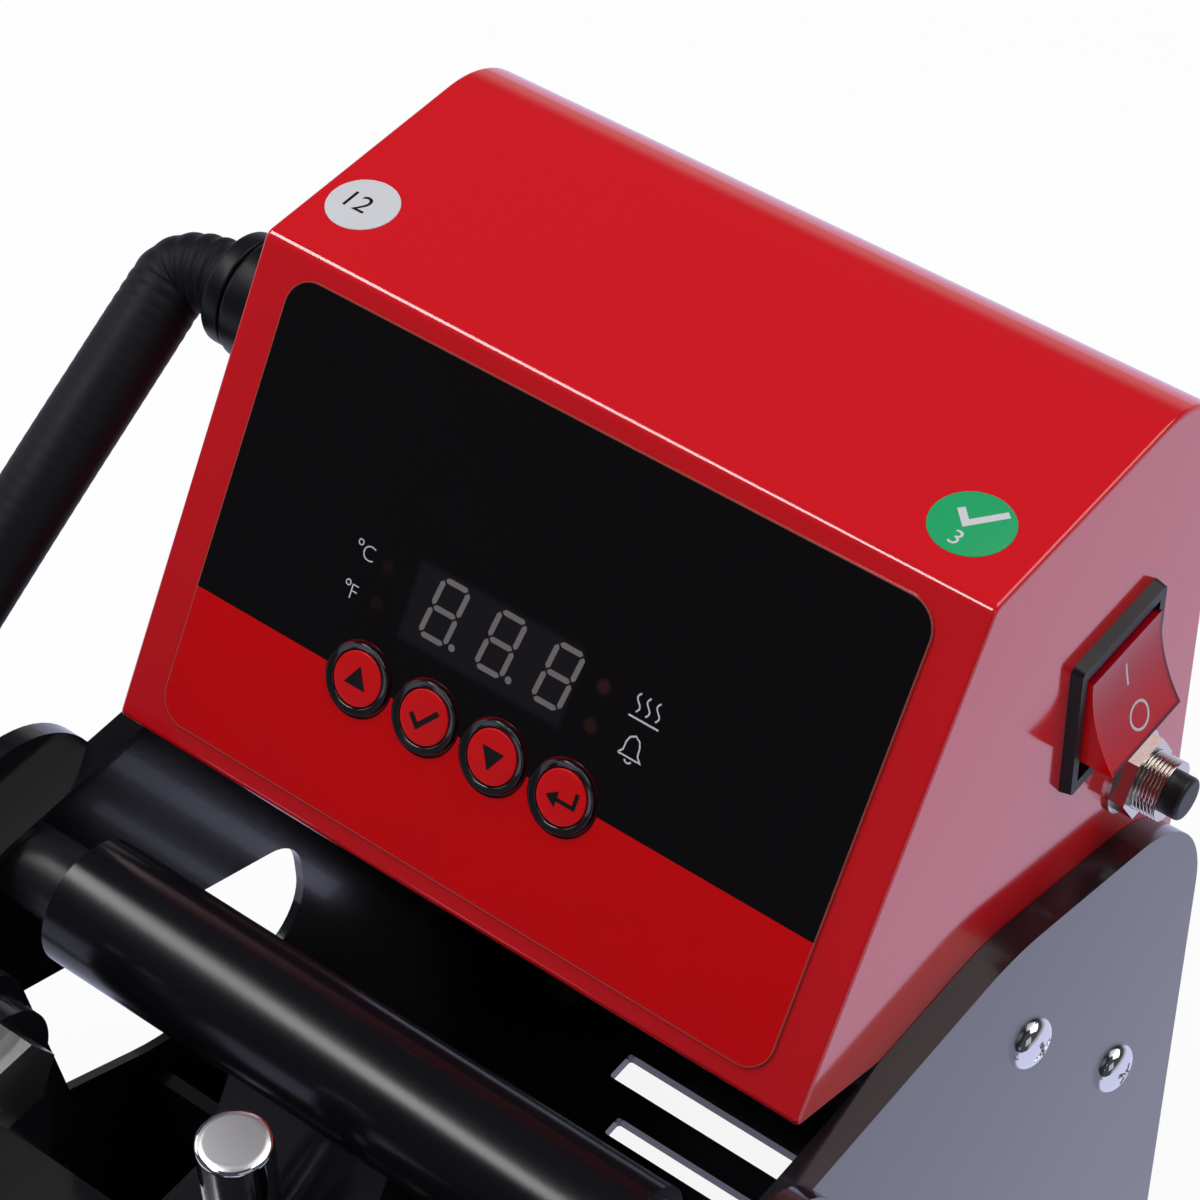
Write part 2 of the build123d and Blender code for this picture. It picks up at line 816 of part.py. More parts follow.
def make_adjuster():
    top = box_base_z + beam_top + screw_boss_height
    foot = box_base_z + carrier_top - carrier_thickness
    with BuildPart() as knob:
        with BuildSketch(Plane.XY.offset(top)):
            with Locations((0, box_front_y + screw_y)):
                Circle(screw_radius + 4)
        extrude(amount=2)
        with BuildSketch(Plane.XY.offset(top + 2)):
            with Locations((0, box_front_y + screw_y)):
                Circle(knob_radius)
                with PolarLocations(knob_radius + 4, 6):
                    Circle(8, mode=Mode.SUBTRACT)
        extrude(amount=knob_height)
        fillet(knob.edges().group_by(Axis.Z)[-1], 2)
        with BuildSketch(Plane.XY.offset(foot)):
            with Locations((0, box_front_y + screw_y)):
                Circle(screw_radius)
        extrude(amount=top - foot)
        with BuildSketch(Plane.XY.offset(box_base_z + beam_top - beam_thickness - 0.3)):
            with Locations((0, box_front_y + screw_y)):
                Circle(screw_radius + 3)
        extrude(amount=-2)
    write(knob, "pressure_knob")


def make_lever():
    arm_end = lever_arm_inside + lever_arm_thickness
    left_end = plate_outside + 7
    with BuildPart() as shaft:
        with BuildSketch(side(-left_end)):
            with Locations((lever_y, lever_z)):
                Circle(lever_shaft_radius)
        extrude(amount=left_end + arm_end)
        chamfer(shaft.edges().filter_by(GeomType.CIRCLE), 0.8)
        for start, end in ((-plate_outside - 2, -left_end + 1), (plate_outside + 2, lever_arm_inside)):
            with BuildSketch(side(start)):
                with Locations((lever_y, lever_z)):
                    Circle(11)
            extrude(amount=end - start)
    write(shaft, "lever_shaft")
    with BuildPart() as bushes:
        for sign in (1, -1):
            with BuildSketch(side(sign * plate_inside)):
                with Locations((lever_y, lever_z)):
                    Circle(lever_bush_radius)
                    Circle(lever_shaft_radius + running_gap, mode=Mode.SUBTRACT)
            extrude(amount=sign * plate_thickness)
            with BuildSketch(side(sign * plate_outside)):
                with Locations((lever_y, lever_z)):
                    Circle(12)
                    Circle(lever_shaft_radius + running_gap, mode=Mode.SUBTRACT)
            extrude(amount=sign * washer_thickness)
    write(bushes, "lever_bushes")
    with BuildPart() as cranks:
        for sign in (1, -1):
            with BuildSketch(side(sign * crank_inside)):
                with BuildSketch(mode=Mode.PRIVATE) as hub:
                    with Locations((lever_y, lever_z)):
                        Circle(crank_hub_radius)
                with BuildSketch(mode=Mode.PRIVATE) as eye:
                    with Locations((pin_y, pin_z)):
                        Circle(crank_eye_radius)
                make_hull(hub.sketch.edges() + eye.sketch.edges())
                with Locations((lever_y, lever_z)):
                    Circle(lever_shaft_radius, mode=Mode.SUBTRACT)
                with Locations((pin_y, pin_z)):
                    Circle(link_pin_radius, mode=Mode.SUBTRACT)
            extrude(amount=sign * crank_thickness)
    write(cranks, "cranks")
    with BuildPart() as pins:
        for sign in (1, -1):
            with BuildSketch(side(sign * (crank_inside + crank_thickness))):
                with Locations((pin_y, pin_z)):
                    Circle(link_pin_radius)
            extrude(amount=-sign * (crank_inside + crank_thickness - link_inside + 1.5))
            with BuildSketch(side(sign * crank_inside)):
                with Locations((pin_y, pin_z)):
                    Circle(link_pin_radius + 3)
            extrude(amount=-sign * (crank_inside - link_inside - link_thickness - 0.3))
            with BuildSketch(side(sign * (link_inside - 0.3))):
                with Locations((pin_y, pin_z)):
                    Circle(link_pin_radius + 2)
            extrude(amount=-sign * 1.2)
    write(pins, "crank_pins")
    along = (cos(radians(lever_angle)), sin(radians(lever_angle)))
    tip = (lever_y + lever_arm_length * along[0], lever_z + lever_arm_length * along[1])
    with BuildPart() as arm:
        with BuildSketch(side(lever_arm_inside)):
            with BuildSketch(mode=Mode.PRIVATE) as hub:
                with Locations((lever_y, lever_z)):
                    Circle(lever_hub_radius)
            with BuildSketch(mode=Mode.PRIVATE) as end:
                with Locations(tip):
                    Circle(lever_tip_radius)
            make_hull(hub.sketch.edges() + end.sketch.edges())
            with Locations((lever_y, lever_z)):
                Circle(lever_shaft_radius, mode=Mode.SUBTRACT)
        extrude(amount=lever_arm_thickness)
        with BuildSketch(handle_plane(lever_arm_length - 24)):
            Circle(handle_radius)
        extrude(amount=handle_end - grip_cap - lever_arm_length + 24)
    write(arm, "lever_arm")
    with BuildPart() as grip:
        with BuildSketch(handle_plane(grip_start)):
            Circle(grip_radius)
        extrude(amount=handle_end - grip_start)
        fillet(grip.edges().filter_by(GeomType.CIRCLE), 4)
        with BuildSketch(handle_plane(grip_start)):
            Circle(handle_radius)
        extrude(amount=handle_end - grip_start - grip_cap, mode=Mode.SUBTRACT)
    write(grip, "handle_grip")


def handle_plane(distance):
    """The plane square to the handle at a distance from the lever's axis."""
    along = (0, cos(radians(lever_angle)), sin(radians(lever_angle)))
    mid_x = lever_arm_inside + lever_arm_thickness / 2
    return Plane(
        origin=(mid_x, lever_y + distance * along[1], lever_z + distance * along[2]),
        x_dir=(1, 0, 0),
        z_dir=along,
    )


def make_links():
    """Hooked links: wide at the jaw pin, round the front of the lever shaft, hooked to the crank pin."""
    top = link_head_radius
    eye = crank_eye_radius
    hook = lever_shaft_radius + link_hook_gap
    corners = [
        (link_y - top, link_z + top, top - 1),
        (link_y + top, link_z + top, top - 1),
        (pin_y - 0.5, pin_z + 2 * crank_length + 2, 8),
        (lever_y - hook, lever_z + hook + 3, 6),
        (lever_y - hook, lever_z - hook + 3, 5),
        (pin_y - eye / 2, pin_z + eye, 4),
        (pin_y + eye, pin_z + eye, eye - 1),
        (pin_y + eye, pin_z - eye, eye - 1),
        (pin_y - eye - 7, pin_z - eye, 14),
        (lever_y - hook - link_neck, lever_z - hook + 3, 16),
    ]
    for sign, label in ((-1, "left_link"), (1, "right_link")):
        with BuildPart() as link:
            with BuildSketch(side(sign * link_inside)):
                with BuildLine():
                    FilletPolyline(
                        *[(y, z) for y, z, r in corners],
                        radius=[r for y, z, r in corners],
                        close=True,
                    )
                make_face()
                with Locations((pin_y, pin_z)):
                    Circle(link_pin_radius + running_gap, mode=Mode.SUBTRACT)
                with Locations((link_y, link_z)):
                    Circle(link_pin_radius, mode=Mode.SUBTRACT)
            extrude(amount=sign * link_thickness)
        write(link, label)
    with BuildPart() as bolts:
        for sign in (1, -1):
            with BuildSketch(side(sign * link_inside)):
                with Locations((link_y, link_z)):
                    Circle(link_pin_radius)
            extrude(amount=sign * link_thickness)
            with BuildSketch(side(sign * (link_inside + link_thickness))):
                with Locations((link_y, link_z)):
                    Circle(9)
            extrude(amount=sign * 3)
    write(bolts, "link_bolts")


def box_outline(inset=0.0):
    """Side view of the control box: sloped panel, top, round rear corner, rear and floor."""
    corners = [
        (0, 0, 1.5),
        (box_fold_y, box_top, fold_radius),
        (box_rear, box_top, rear_corner_radius),
        (box_rear, -box_rear_drop, 3),
    ]
    with BuildSketch(mode=Mode.PRIVATE) as outline:
        with BuildLine():
            FilletPolyline(
                *[at(y, z) for y, z, r in corners],
                radius=[r for y, z, r in corners],
                close=True,
            )
        make_face()
        if inset:
            offset(amount=-inset)
    return outline.sketch


def make_box():
    inside = box_half_width - box_sheet
    slope_angle = degrees(atan2(box_rear_drop, box_rear))
    with BuildPart() as shell:
        with BuildSketch(side(-inside)):
            add(box_outline())
            add(box_outline(box_sheet), mode=Mode.SUBTRACT)
        extrude(amount=2 * inside)
        with BuildSketch(panel_plane):
            with Locations((display_x, display_y)):
                Rectangle(display_width + 0.2, display_height + 0.2)
            with Locations(*button_places()):
                Circle(button_hole_radius)
            with Locations(*lamp_places):
                Circle(lamp_radius + 0.05)
        extrude(amount=-3, mode=Mode.SUBTRACT)
        with BuildSketch(front(box_rear)):
            with Locations((inlet_x, box_base_z + inlet_z)):
                Rectangle(inlet_width + 0.2, inlet_height + 0.2)
        extrude(amount=3, mode=Mode.SUBTRACT)
    write(shell, "box_shell")
    for sign, label in ((-1, "left_end_panel"), (1, "right_end_panel")):
        with BuildPart() as panel:
            with BuildSketch(side(sign * inside)):
                add(box_outline())
                with BuildLine():
                    ear = [
                        at(ear_screw_y - 27.6, -5),
                        at(ear_screw_y - 13.6, ear_screw_z - 13.8),
                        at(tie_y - 16, tie_z - 15.3),
                        at(box_rear - 6.5, tie_z - 15.3),
                        at(box_rear - 6.5, -box_rear_drop + 13),
                        at(box_rear / 2, 0),
                    ]
                    FilletPolyline(*ear, radius=[3, 10, 12, 8, 3, 3], close=True)
                make_face()
                with Locations(*screw_places()):
                    Circle(m6_radius + bolt_gap, mode=Mode.SUBTRACT)
                if sign > 0:
                    with Locations(at(rocker_y, rocker_z)):
                        Rectangle(
                            switch_body_width + 0.2, switch_body_height + 0.2, mode=Mode.SUBTRACT
                        )
                    with Locations(at(breaker_y, breaker_z)):
                        Circle(breaker_radius + 0.05, mode=Mode.SUBTRACT)
                else:
                    with Locations(at(gland_y, gland_z)):
                        Circle(gland_thread_radius, mode=Mode.SUBTRACT)
            extrude(amount=sign * box_sheet)
            outer = panel.faces().sort_by(Axis.X)[-1 if sign > 0 else 0]
            fillet(outer.outer_wire().edges(), 0.8)
        write(panel, label)
    relay_z = -slope_z(relay_y) + box_sheet
    relay_plane = Plane(
        origin=(0, box_front_y + relay_y, box_base_z + relay_z),
        x_dir=(1, 0, 0),
        z_dir=(0, sin(radians(slope_angle)), cos(radians(slope_angle))),
    )
    with BuildPart() as relay:
        with BuildSketch(relay_plane):
            with Locations((20, 0)):
                RectangleRounded(relay_length, relay_width, 2)
        extrude(amount=relay_height)
        with BuildSketch(relay_plane):
            with Locations((-38, -8)):
                RectangleRounded(transformer_side, transformer_side, 3)
        extrude(amount=transformer_height)
        fillet(relay.edges().group_by(Axis.Z)[-1], 1)
    write(relay, "power_relay_and_transformer")


def slope_z(y):
    """How far the box's floor lies under its front edge, and a hair for the sheet's slope."""
    return box_rear_drop * y / box_rear - 0.08


def button_places():
    return [(button_first + i * button_pitch, button_height) for i in range(len(button_names))]


def make_panel():
    with BuildPart() as overlay:
        mid = (overlay_low + overlay_high) / 2
        with BuildSketch(panel_plane):
            with Locations((0, mid)):
                RectangleRounded(2 * overlay_half_width, overlay_high - overlay_low, overlay_corner)
            with Locations(*button_places()):
                Circle(ring_radius + 0.05, mode=Mode.SUBTRACT)
        extrude(amount=overlay_thickness)
    write(overlay, "panel_overlay")
    with BuildPart() as rings:
        with BuildSketch(panel_plane):
            with Locations(*button_places()):
                Circle(ring_radius)
                Circle(button_hole_radius, mode=Mode.SUBTRACT)
        extrude(amount=ring_height)
    write(rings, "button_rings")
    for name, (x, y) in zip(button_names, button_places()):
        with BuildPart() as button:
            with BuildSketch(panel_plane.offset(-2)):
                with Locations((x, y)):
                    Circle(button_radius)
            extrude(amount=2 + button_proud)
            with BuildSketch(panel_plane.offset(-2)):
                with Locations((x, y)):
                    Circle(stem_radius)
            stem = board_depth - switch_height - button_travel - 0.2 - 2
            extrude(amount=-stem)
        write(button, f"button_{name}")
    with BuildPart() as display:
        with BuildSketch(panel_plane):
            with Locations((display_x, display_y)):
                Rectangle(display_width, display_height)
        extrude(amount=-board_depth)
    write(display, "display_module")
    with BuildPart() as lamps:
        with BuildSketch(panel_plane):
            with Locations(*lamp_places):
                Circle(lamp_radius)
        extrude(amount=-board_depth)
    write(lamps, "status_lamps")
    with BuildPart() as board:
        with BuildSketch(panel_plane.offset(-board_depth)):
            with Locations((0, (board_low + board_high) / 2)):
                Rectangle(2 * board_half_width, board_high - board_low)
        extrude(amount=-board_thickness)
        with BuildSketch(panel_plane.offset(-board_depth)):
            with Locations(*button_places()):
                Rectangle(6, 6)
        extrude(amount=switch_height)
        with BuildSketch(panel_plane.offset(-board_depth)):
            with Locations((0, (board_low + board_high) / 2)):
                with GridLocations(
                    2 * board_half_width - 8, board_high - board_low - 8, 2, 2
                ):
                    Circle(3)
        extrude(amount=board_depth - box_sheet)
    write(board, "control_board")


def make_rocker_switch():
    x = box_half_width
    y, z = at(rocker_y, rocker_z)
    pivot_x = x - rocker_pivot_depth
    hole_half = rocker_width / 2 + trunnion_length + running_gap
    with BuildPart() as body:
        with BuildSketch(side(x)):
            with Locations((y, z)):
                RectangleRounded(bezel_width, bezel_height, 1.5)
        extrude(amount=bezel_thickness, taper=12)
        with BuildSketch(side(x)):
            with Locations((y, z)):
                Rectangle(switch_body_width, switch_body_height)
        extrude(amount=-switch_body_depth)
        with BuildSketch(side(x + bezel_thickness)):
            with Locations((y, z)):
                Rectangle(rocker_width + 2 * rocker_gap, rocker_well_height)
        extrude(amount=-rocker_well - bezel_thickness, mode=Mode.SUBTRACT)
        across = Plane(origin=(pivot_x, y - hole_half, z), x_dir=(1, 0, 0), z_dir=(0, 1, 0))
        with BuildSketch(across):
            Circle(trunnion_radius + running_gap)
        extrude(amount=2 * hole_half, mode=Mode.SUBTRACT)
    write(body, "rocker_switch_body")
    tilt = radians(rocker_tilt)
    rocker_plane = Plane(
        origin=(pivot_x, y + rocker_width / 2, z),
        x_dir=(cos(tilt), 0, sin(tilt)),
        z_dir=(0, -1, 0),
    )
    half = rocker_half_length
    face = rocker_face
    middle = rocker_face - rocker_hollow
    with BuildPart() as rocker:
        with BuildSketch(rocker_plane):
            with BuildLine():
                Polyline((-3.2, -7.5), (middle - 1, -half + 0.3), (face, -half))
                ThreePointArc((face, -half), (middle, 0), (face, half))
                Polyline((face, half), (middle - 1, half - 0.3), (-3.2, 7.5), (-3.2, -7.5))
            make_face()
        extrude(amount=rocker_width)
        with BuildSketch(rocker_plane.offset(-trunnion_length)):
            Circle(trunnion_radius)
        extrude(amount=rocker_width + 2 * trunnion_length)
    write(rocker, "rocker")


def make_breaker():
    x = box_half_width
    y, z = at(breaker_y, breaker_z)
    with BuildPart() as body:
        with BuildSketch(side(x - box_sheet)):
            with Locations((y, z)):
                Rectangle(15, 20)
        extrude(amount=-24)
        with BuildSketch(side(x - box_sheet)):
            with Locations((y, z)):
                Circle(breaker_radius)
        extrude(amount=box_sheet + breaker_proud)
        with BuildSketch(side(x + breaker_proud)):
            with Locations((y, z)):
                Circle(breaker_button_radius + running_gap)
        extrude(amount=-breaker_proud + 1, mode=Mode.SUBTRACT)
    write(body, "breaker_body")
    with BuildPart() as nut:
        with BuildSketch(side(x)):
            with Locations((y, z)):
                Circle(8.5)
                Circle(breaker_radius + 0.05, mode=Mode.SUBTRACT)
        extrude(amount=0.8)
        with BuildSketch(side(x + 0.8)):
            with Locations((y, z)):
                RegularPolygon(8.3, 6)
                Circle(breaker_radius + 0.05, mode=Mode.SUBTRACT)
        extrude(amount=breaker_nut_height)
    write(nut, "breaker_nut")
    with BuildPart() as button:
        with BuildSketch(side(x + breaker_proud + breaker_button_proud)):
            with Locations((y, z)):
                Circle(breaker_button_radius)
        extrude(amount=-breaker_button_proud - breaker_proud + 1 + breaker_travel + 0.3)
        fillet(button.edges().group_by(Axis.X)[-1], 0.8)
    write(button, "breaker_button")


def make_inlet():
    z = box_base_z + inlet_z
    with BuildPart() as inlet:
        with BuildSketch(front(box_rear)):
            with Locations((inlet_x, z)):
                Rectangle(inlet_width + 6, inlet_height + 6)
        extrude(amount=-2)
        with BuildSketch(front(box_rear)):
            with Locations((inlet_x, z)):
                Rectangle(inlet_width, inlet_height)
        extrude(amount=inlet_depth)
        with BuildSketch(front(box_rear + 2)):
            with Locations((inlet_x, z)):
                Rectangle(inlet_width - 3, inlet_height - 3)
        extrude(amount=18, mode=Mode.SUBTRACT)
        with BuildSketch(front(box_rear - 16)):
            with Locations((inlet_x - 7, z - 2), (inlet_x, z + 2), (inlet_x + 7, z - 2)):
                Rectangle(2, 4)
        extrude(amount=-12)
    write(inlet, "power_inlet")


def hose_path():
    """The hose's route: out of the box's gland, forward and down, and into the platen's gland."""
    points = [
        (-box_half_width - gland_reach, *at(gland_y, gland_z)),
        (-hose_turn_x, *at(gland_y, gland_z)),
        (-hose_turn_x, *at(0, 26)),
        (-hose_out_x, *at(-75, -38)),
        (-hose_out_x, *at(platen_gland_y, platen_gland_z)),
        (-cover_half_width - gland_reach, *at(platen_gland_y, platen_gland_z)),
    ]
    radii = [12.5, 80, 60, 12.5]
    with BuildLine() as line:
        FilletPolyline(*points, radius=radii)
    return line.wire(), radii


def make_hose():
    path, radii = hose_path()
    length = path.length
    print("hose length", round(length, 1), "bend radii", radii)
    count = int(length // hose_rib_pitch)
    pitch = length / count
    steady = Vector(0, -0.55, 0.83)
    stations = []
    for i in range(count):
        stations += [
            ((i + 0.04) * pitch, hose_valley_radius),
            ((i + 0.30) * pitch, hose_radius),
            ((i + 0.66) * pitch, hose_radius),
            ((i + 0.92) * pitch, hose_valley_radius),
        ]
    stations[0] = (0.0, hose_valley_radius)
    stations[-1] = (length, hose_valley_radius)

    def square_to_path(distance):
        here = path.position_at(distance / length)
        ahead = path.tangent_at(distance / length)
        across = steady - ahead * steady.dot(ahead)
        return Plane(origin=here, x_dir=across, z_dir=ahead)

    with BuildPart() as hose:
        for distance, radius in stations:
            with BuildSketch(square_to_path(distance)):
                Circle(radius)
        loft(ruled=True)
        with BuildSketch(square_to_path(0)):
            Circle(hose_bore_radius)
        sweep(path=path, mode=Mode.SUBTRACT)
    write(hose, "heater_hose")


make_side_plate(-1, "left_side_plate")
make_side_plate(1, "right_side_plate")
make_base_plate()
make_feet()
make_bulkhead()
make_lower_bracket()
make_lower_platen()
make_rear_parts()
make_plate_screws()
make_hinge()
make_jaw()
make_carriage()
make_adjuster()
make_lever()
make_links()
make_box()
make_panel()
make_rocker_switch()
make_breaker()
make_gland("hose_gland", -box_half_width, gland_y, gland_z, box_sheet)
make_inlet()
make_hose()
print(len(written), "sub-parts")
print("lever axis", round(lever_y, 3), round(lever_z, 3))
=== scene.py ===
# %% [markdown]
# # A clamshell heat press, dressed from its CAD frame
#
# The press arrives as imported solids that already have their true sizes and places. This lesson
# gives them their finishes, and adds what is too fine for the solids: the printed panel, the
# display's segments, the ribbed hose, the threads, the screw heads and the small marks.
# Everything is in metres, with X to the right, Y to the back and Z up.

from math import atan2, cos, pi, radians, sin

import bmesh
import bpy
import numpy as np
from mathutils import Matrix, Vector


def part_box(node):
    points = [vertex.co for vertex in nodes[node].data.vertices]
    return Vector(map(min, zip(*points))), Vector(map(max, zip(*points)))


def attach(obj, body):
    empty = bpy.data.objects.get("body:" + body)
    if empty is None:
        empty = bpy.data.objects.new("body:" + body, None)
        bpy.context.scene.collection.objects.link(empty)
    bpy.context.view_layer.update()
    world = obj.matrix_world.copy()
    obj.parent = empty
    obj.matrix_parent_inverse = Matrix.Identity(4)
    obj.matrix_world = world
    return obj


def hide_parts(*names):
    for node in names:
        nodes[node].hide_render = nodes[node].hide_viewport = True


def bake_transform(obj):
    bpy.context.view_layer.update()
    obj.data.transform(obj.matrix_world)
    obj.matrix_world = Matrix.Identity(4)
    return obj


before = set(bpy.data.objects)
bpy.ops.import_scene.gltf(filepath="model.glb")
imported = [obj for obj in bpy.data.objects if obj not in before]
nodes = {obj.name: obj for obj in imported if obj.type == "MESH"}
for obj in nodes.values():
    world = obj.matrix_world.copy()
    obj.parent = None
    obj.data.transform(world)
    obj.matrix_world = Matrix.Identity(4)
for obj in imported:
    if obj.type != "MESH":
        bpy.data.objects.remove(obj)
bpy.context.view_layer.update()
scene = bpy.context.scene
scene.view_settings.view_transform = "Standard"

# %% [markdown]
# The photograph was taken close and from high on the right, with a long lens and the camera
# turned a little about its own axis. Its place was worked out from the box's straight edges, so
# the numbers here are a result and not a guess. A 36 mm wide sensor is Blender's usual one.

# %% The camera
camera_data = bpy.data.cameras.new("camera")
camera_data.lens = 108.5
camera_data.sensor_width = 36.0
camera_data.clip_start = 0.05
camera = bpy.data.objects.new("camera", camera_data)
camera.location = (0.27047, -0.18926, 0.68026)
camera.rotation_euler = (radians(43.384), radians(1.377), radians(37.843))
scene.collection.objects.link(camera)
scene.camera = camera

# %% [markdown]
# The finishes, the floor and the world are all built from shader nodes. A node's input takes either
# a plain value or a wire from another node. One small function tells the two apart, so that every
# later step only has to say what goes where.

# %% Node helpers
def feed(tree, socket, value):
    """Wire an input to another node's output, or give it a plain value."""
    if hasattr(value, "links"):
        tree.links.new(value, socket)
    else:
        socket.default_value = value


def node_of(tree, kind, *first, **values):
    """A new shader node. Its first inputs are fed in their order, and the others by name."""
    node = tree.nodes.new(kind)
    for name, value in values.items():
        if hasattr(node, name):
            setattr(node, name, value)
        else:
            feed(tree, node.inputs[name.replace("_", " ")], value)
    for socket, value in zip(node.inputs, first):
        feed(tree, socket, value)
    return node


def maths(tree, operation, *values):
    """A Math node on values or sockets."""
    return node_of(tree, "ShaderNodeMath", *values, operation=operation).outputs[0]


def mixed(tree, share, first, second):
    """One shader mixed into another by a share."""
    return node_of(tree, "ShaderNodeMixShader", share, first, second).outputs[0]


def soft_step(tree, value, low, high):
    """A mask that goes from 0 at low to 1 at high."""
    return node_of(tree, "ShaderNodeMapRange", value, interpolation_type="SMOOTHSTEP",
                   From_Min=low, From_Max=high).outputs[0]


def blend_colour(tree, mask, first, second):
    """A colour or socket mixed into another by a mask."""
    node = node_of(tree, "ShaderNodeMix", mask, data_type="RGBA")
    for socket, value in ((node.inputs[6], first), (node.inputs[7], second)):
        feed(tree, socket, value if hasattr(value, "links") else (*value, 1))
    return node.outputs[2]


def principled(name):
    """A new material, with its tree and its one Principled shader."""
    material = bpy.data.materials.new(name)
    material.use_nodes = True
    return material, material.node_tree, material.node_tree.nodes["Principled BSDF"]


def paint(name, material):
    """Give every face of a solid one material."""
    for slot in nodes[name].material_slots:
        slot.material = material


print("node helpers ready")

# %% [markdown]
# A studio picture of a dark glossy machine is mostly a picture of its reflections. A long narrow
# lamp above, a little to the front and left, draws the streak on the round black tube. A large one
# behind lights the red top, and two weak ones fill the sides. The side of the box is seen at a low
# angle and mirrors the pale table, so the table itself gives that sheen. The room is dark to a
# mirror, so that the panel's film stays deep black, but for a pale band low down behind the press.

# %% The floor, the world and the lamps
table_reach = 3.0
floor_mesh = bpy.data.meshes.new("floor")
corners = [(x * table_reach, y * table_reach, 0) for x, y in ((-1, -1), (1, -1), (1, 1), (-1, 1))]
floor_mesh.from_pydata(corners, [], [(0, 1, 2, 3)])
floor = bpy.data.objects.new("floor", floor_mesh)
scene.collection.objects.link(floor)

floor_paint = bpy.data.materials.new("floor_paper")
floor_paint.use_nodes = True
tree = floor_paint.node_tree
tree.nodes.clear()
paper = node_of(tree, "ShaderNodeBsdfDiffuse", Color=(0.92, 0.92, 0.92, 1))
glow = node_of(tree, "ShaderNodeEmission", Color=(1, 1, 1, 1), Strength=1.0)
sheen = node_of(tree, "ShaderNodeEmission", Color=(0.73, 0.745, 1.0, 1), Strength=1.0)
path = tree.nodes.new("ShaderNodeLightPath").outputs
seen = maths(tree, "MAXIMUM", path["Is Camera Ray"], path["Is Transmission Ray"])
floor_glow = 0.9
white = mixed(tree, maths(tree, "MULTIPLY", seen, floor_glow), paper.outputs[0], glow.outputs[0])
mirrored = mixed(tree, path["Is Glossy Ray"], white, sheen.outputs[0])
node_of(tree, "ShaderNodeOutputMaterial", mirrored)
floor_mesh.materials.append(floor_paint)

world = bpy.data.worlds.new("studio")
scene.world = world
world.use_nodes = True
tree = world.node_tree
tree.nodes.clear()
dim = node_of(tree, "ShaderNodeBackground", Color=(0.82, 0.87, 1.0, 1), Strength=0.28)
dark = node_of(tree, "ShaderNodeBackground", Color=(0.80, 0.84, 1.0, 1), Strength=0.08)
pale = node_of(tree, "ShaderNodeBackground", Color=(0.95, 0.97, 1.0, 1), Strength=0.5)
bright = node_of(tree, "ShaderNodeBackground", Color=(1, 1, 1, 1), Strength=1.0)
path = tree.nodes.new("ShaderNodeLightPath").outputs
direction = tree.nodes.new("ShaderNodeTexCoord").outputs["Generated"]
masks = []
for pull, low, high in (((0, 0, -1), -0.34, -0.06), ((0.6, 1, 0), 0.0, 0.35)):
    along = node_of(tree, "ShaderNodeVectorMath", direction, pull, operation="DOT_PRODUCT")
    masks.append(soft_step(tree, along.outputs["Value"], low, high))
room = mixed(tree, maths(tree, "MULTIPLY", *masks), dark.outputs[0], pale.outputs[0])
mirrored = mixed(tree, path["Is Glossy Ray"], dim.outputs[0], room)
seen = maths(tree, "MAXIMUM", path["Is Camera Ray"], path["Is Transmission Ray"])
node_of(tree, "ShaderNodeOutputWorld", mixed(tree, seen, mirrored, bright.outputs[0]))


def soft_box(name, place, target, width, height, watts):
    """A rectangular studio lamp at a place, facing a target."""
    data = bpy.data.lights.new(name, "AREA")
    data.shape = "RECTANGLE"
    data.size = width
    data.size_y = height
    data.energy = watts
    lamp = bpy.data.objects.new(name, data)
    lamp.location = place
    lamp.rotation_euler = (Vector(target) - Vector(place)).to_track_quat("-Z", "Y").to_euler()
    scene.collection.objects.link(lamp)
    return lamp


middle = (0, 0.1, 0.2)
soft_box("long_lamp", (-0.56, -0.24, 1.26), middle, 1.1, 0.20, 8.0)
soft_box("top_lamp", (0.50, 0.85, 1.50), middle, 1.3, 1.2, 13.0)
soft_box("left_lamp", (-1.60, -0.10, 0.80), middle, 0.8, 0.8, 3.0)
soft_box("right_lamp", (1.3, -0.5, 1.1), middle, 0.9, 0.9, 1.2)

# %% [markdown]
# Most finishes here are a plain coat over metal or moulded plastic. Up close no such coat is
# even: powder paint has a fine orange peel, plastic a grain, steel a brushed streak. The effect
# is the same idea each time, a noise that shifts the colour, the roughness and the surface a
# little, so it is one shader group that every finish places with its own values.

# %% The shared surface effect
def new_group(name, inputs, outputs):
    group = bpy.data.node_groups.new(name, "ShaderNodeTree")
    for socket, kind, value in inputs:
        made = group.interface.new_socket(socket, in_out="INPUT", socket_type=kind)
        if value is not None:
            made.default_value = value
    for socket, kind in outputs:
        group.interface.new_socket(socket, in_out="OUTPUT", socket_type=kind)
    return group, group.nodes.new("NodeGroupInput"), group.nodes.new("NodeGroupOutput")


number, colour, vector = "NodeSocketFloat", "NodeSocketColor", "NodeSocketVector"
grain_group, ins, outs = new_group(
    "surface_grain",
    [
        ("Colour", colour, (0.5, 0.5, 0.5, 1)),
        ("Shade", colour, (0.4, 0.4, 0.4, 1)),
        ("Grain per metre", number, 900.0),
        ("Cloud per metre", number, 30.0),
        ("Stretch", vector, (1.0, 1.0, 1.0)),
        ("Roughness low", number, 0.3),
        ("Roughness high", number, 0.4),
        ("Bump", number, 0.1),
    ],
    [("Colour", colour), ("Roughness", number), ("Normal", vector)],
)
g = grain_group
given = ins.outputs
place = g.nodes.new("ShaderNodeTexCoord").outputs["Object"]
stretched = node_of(g, "ShaderNodeVectorMath", place, given["Stretch"],
                    operation="MULTIPLY").outputs[0]
fine = node_of(g, "ShaderNodeTexNoise", stretched, Scale=given["Grain per metre"], Detail=3.0,
               Roughness=0.55).outputs[0]
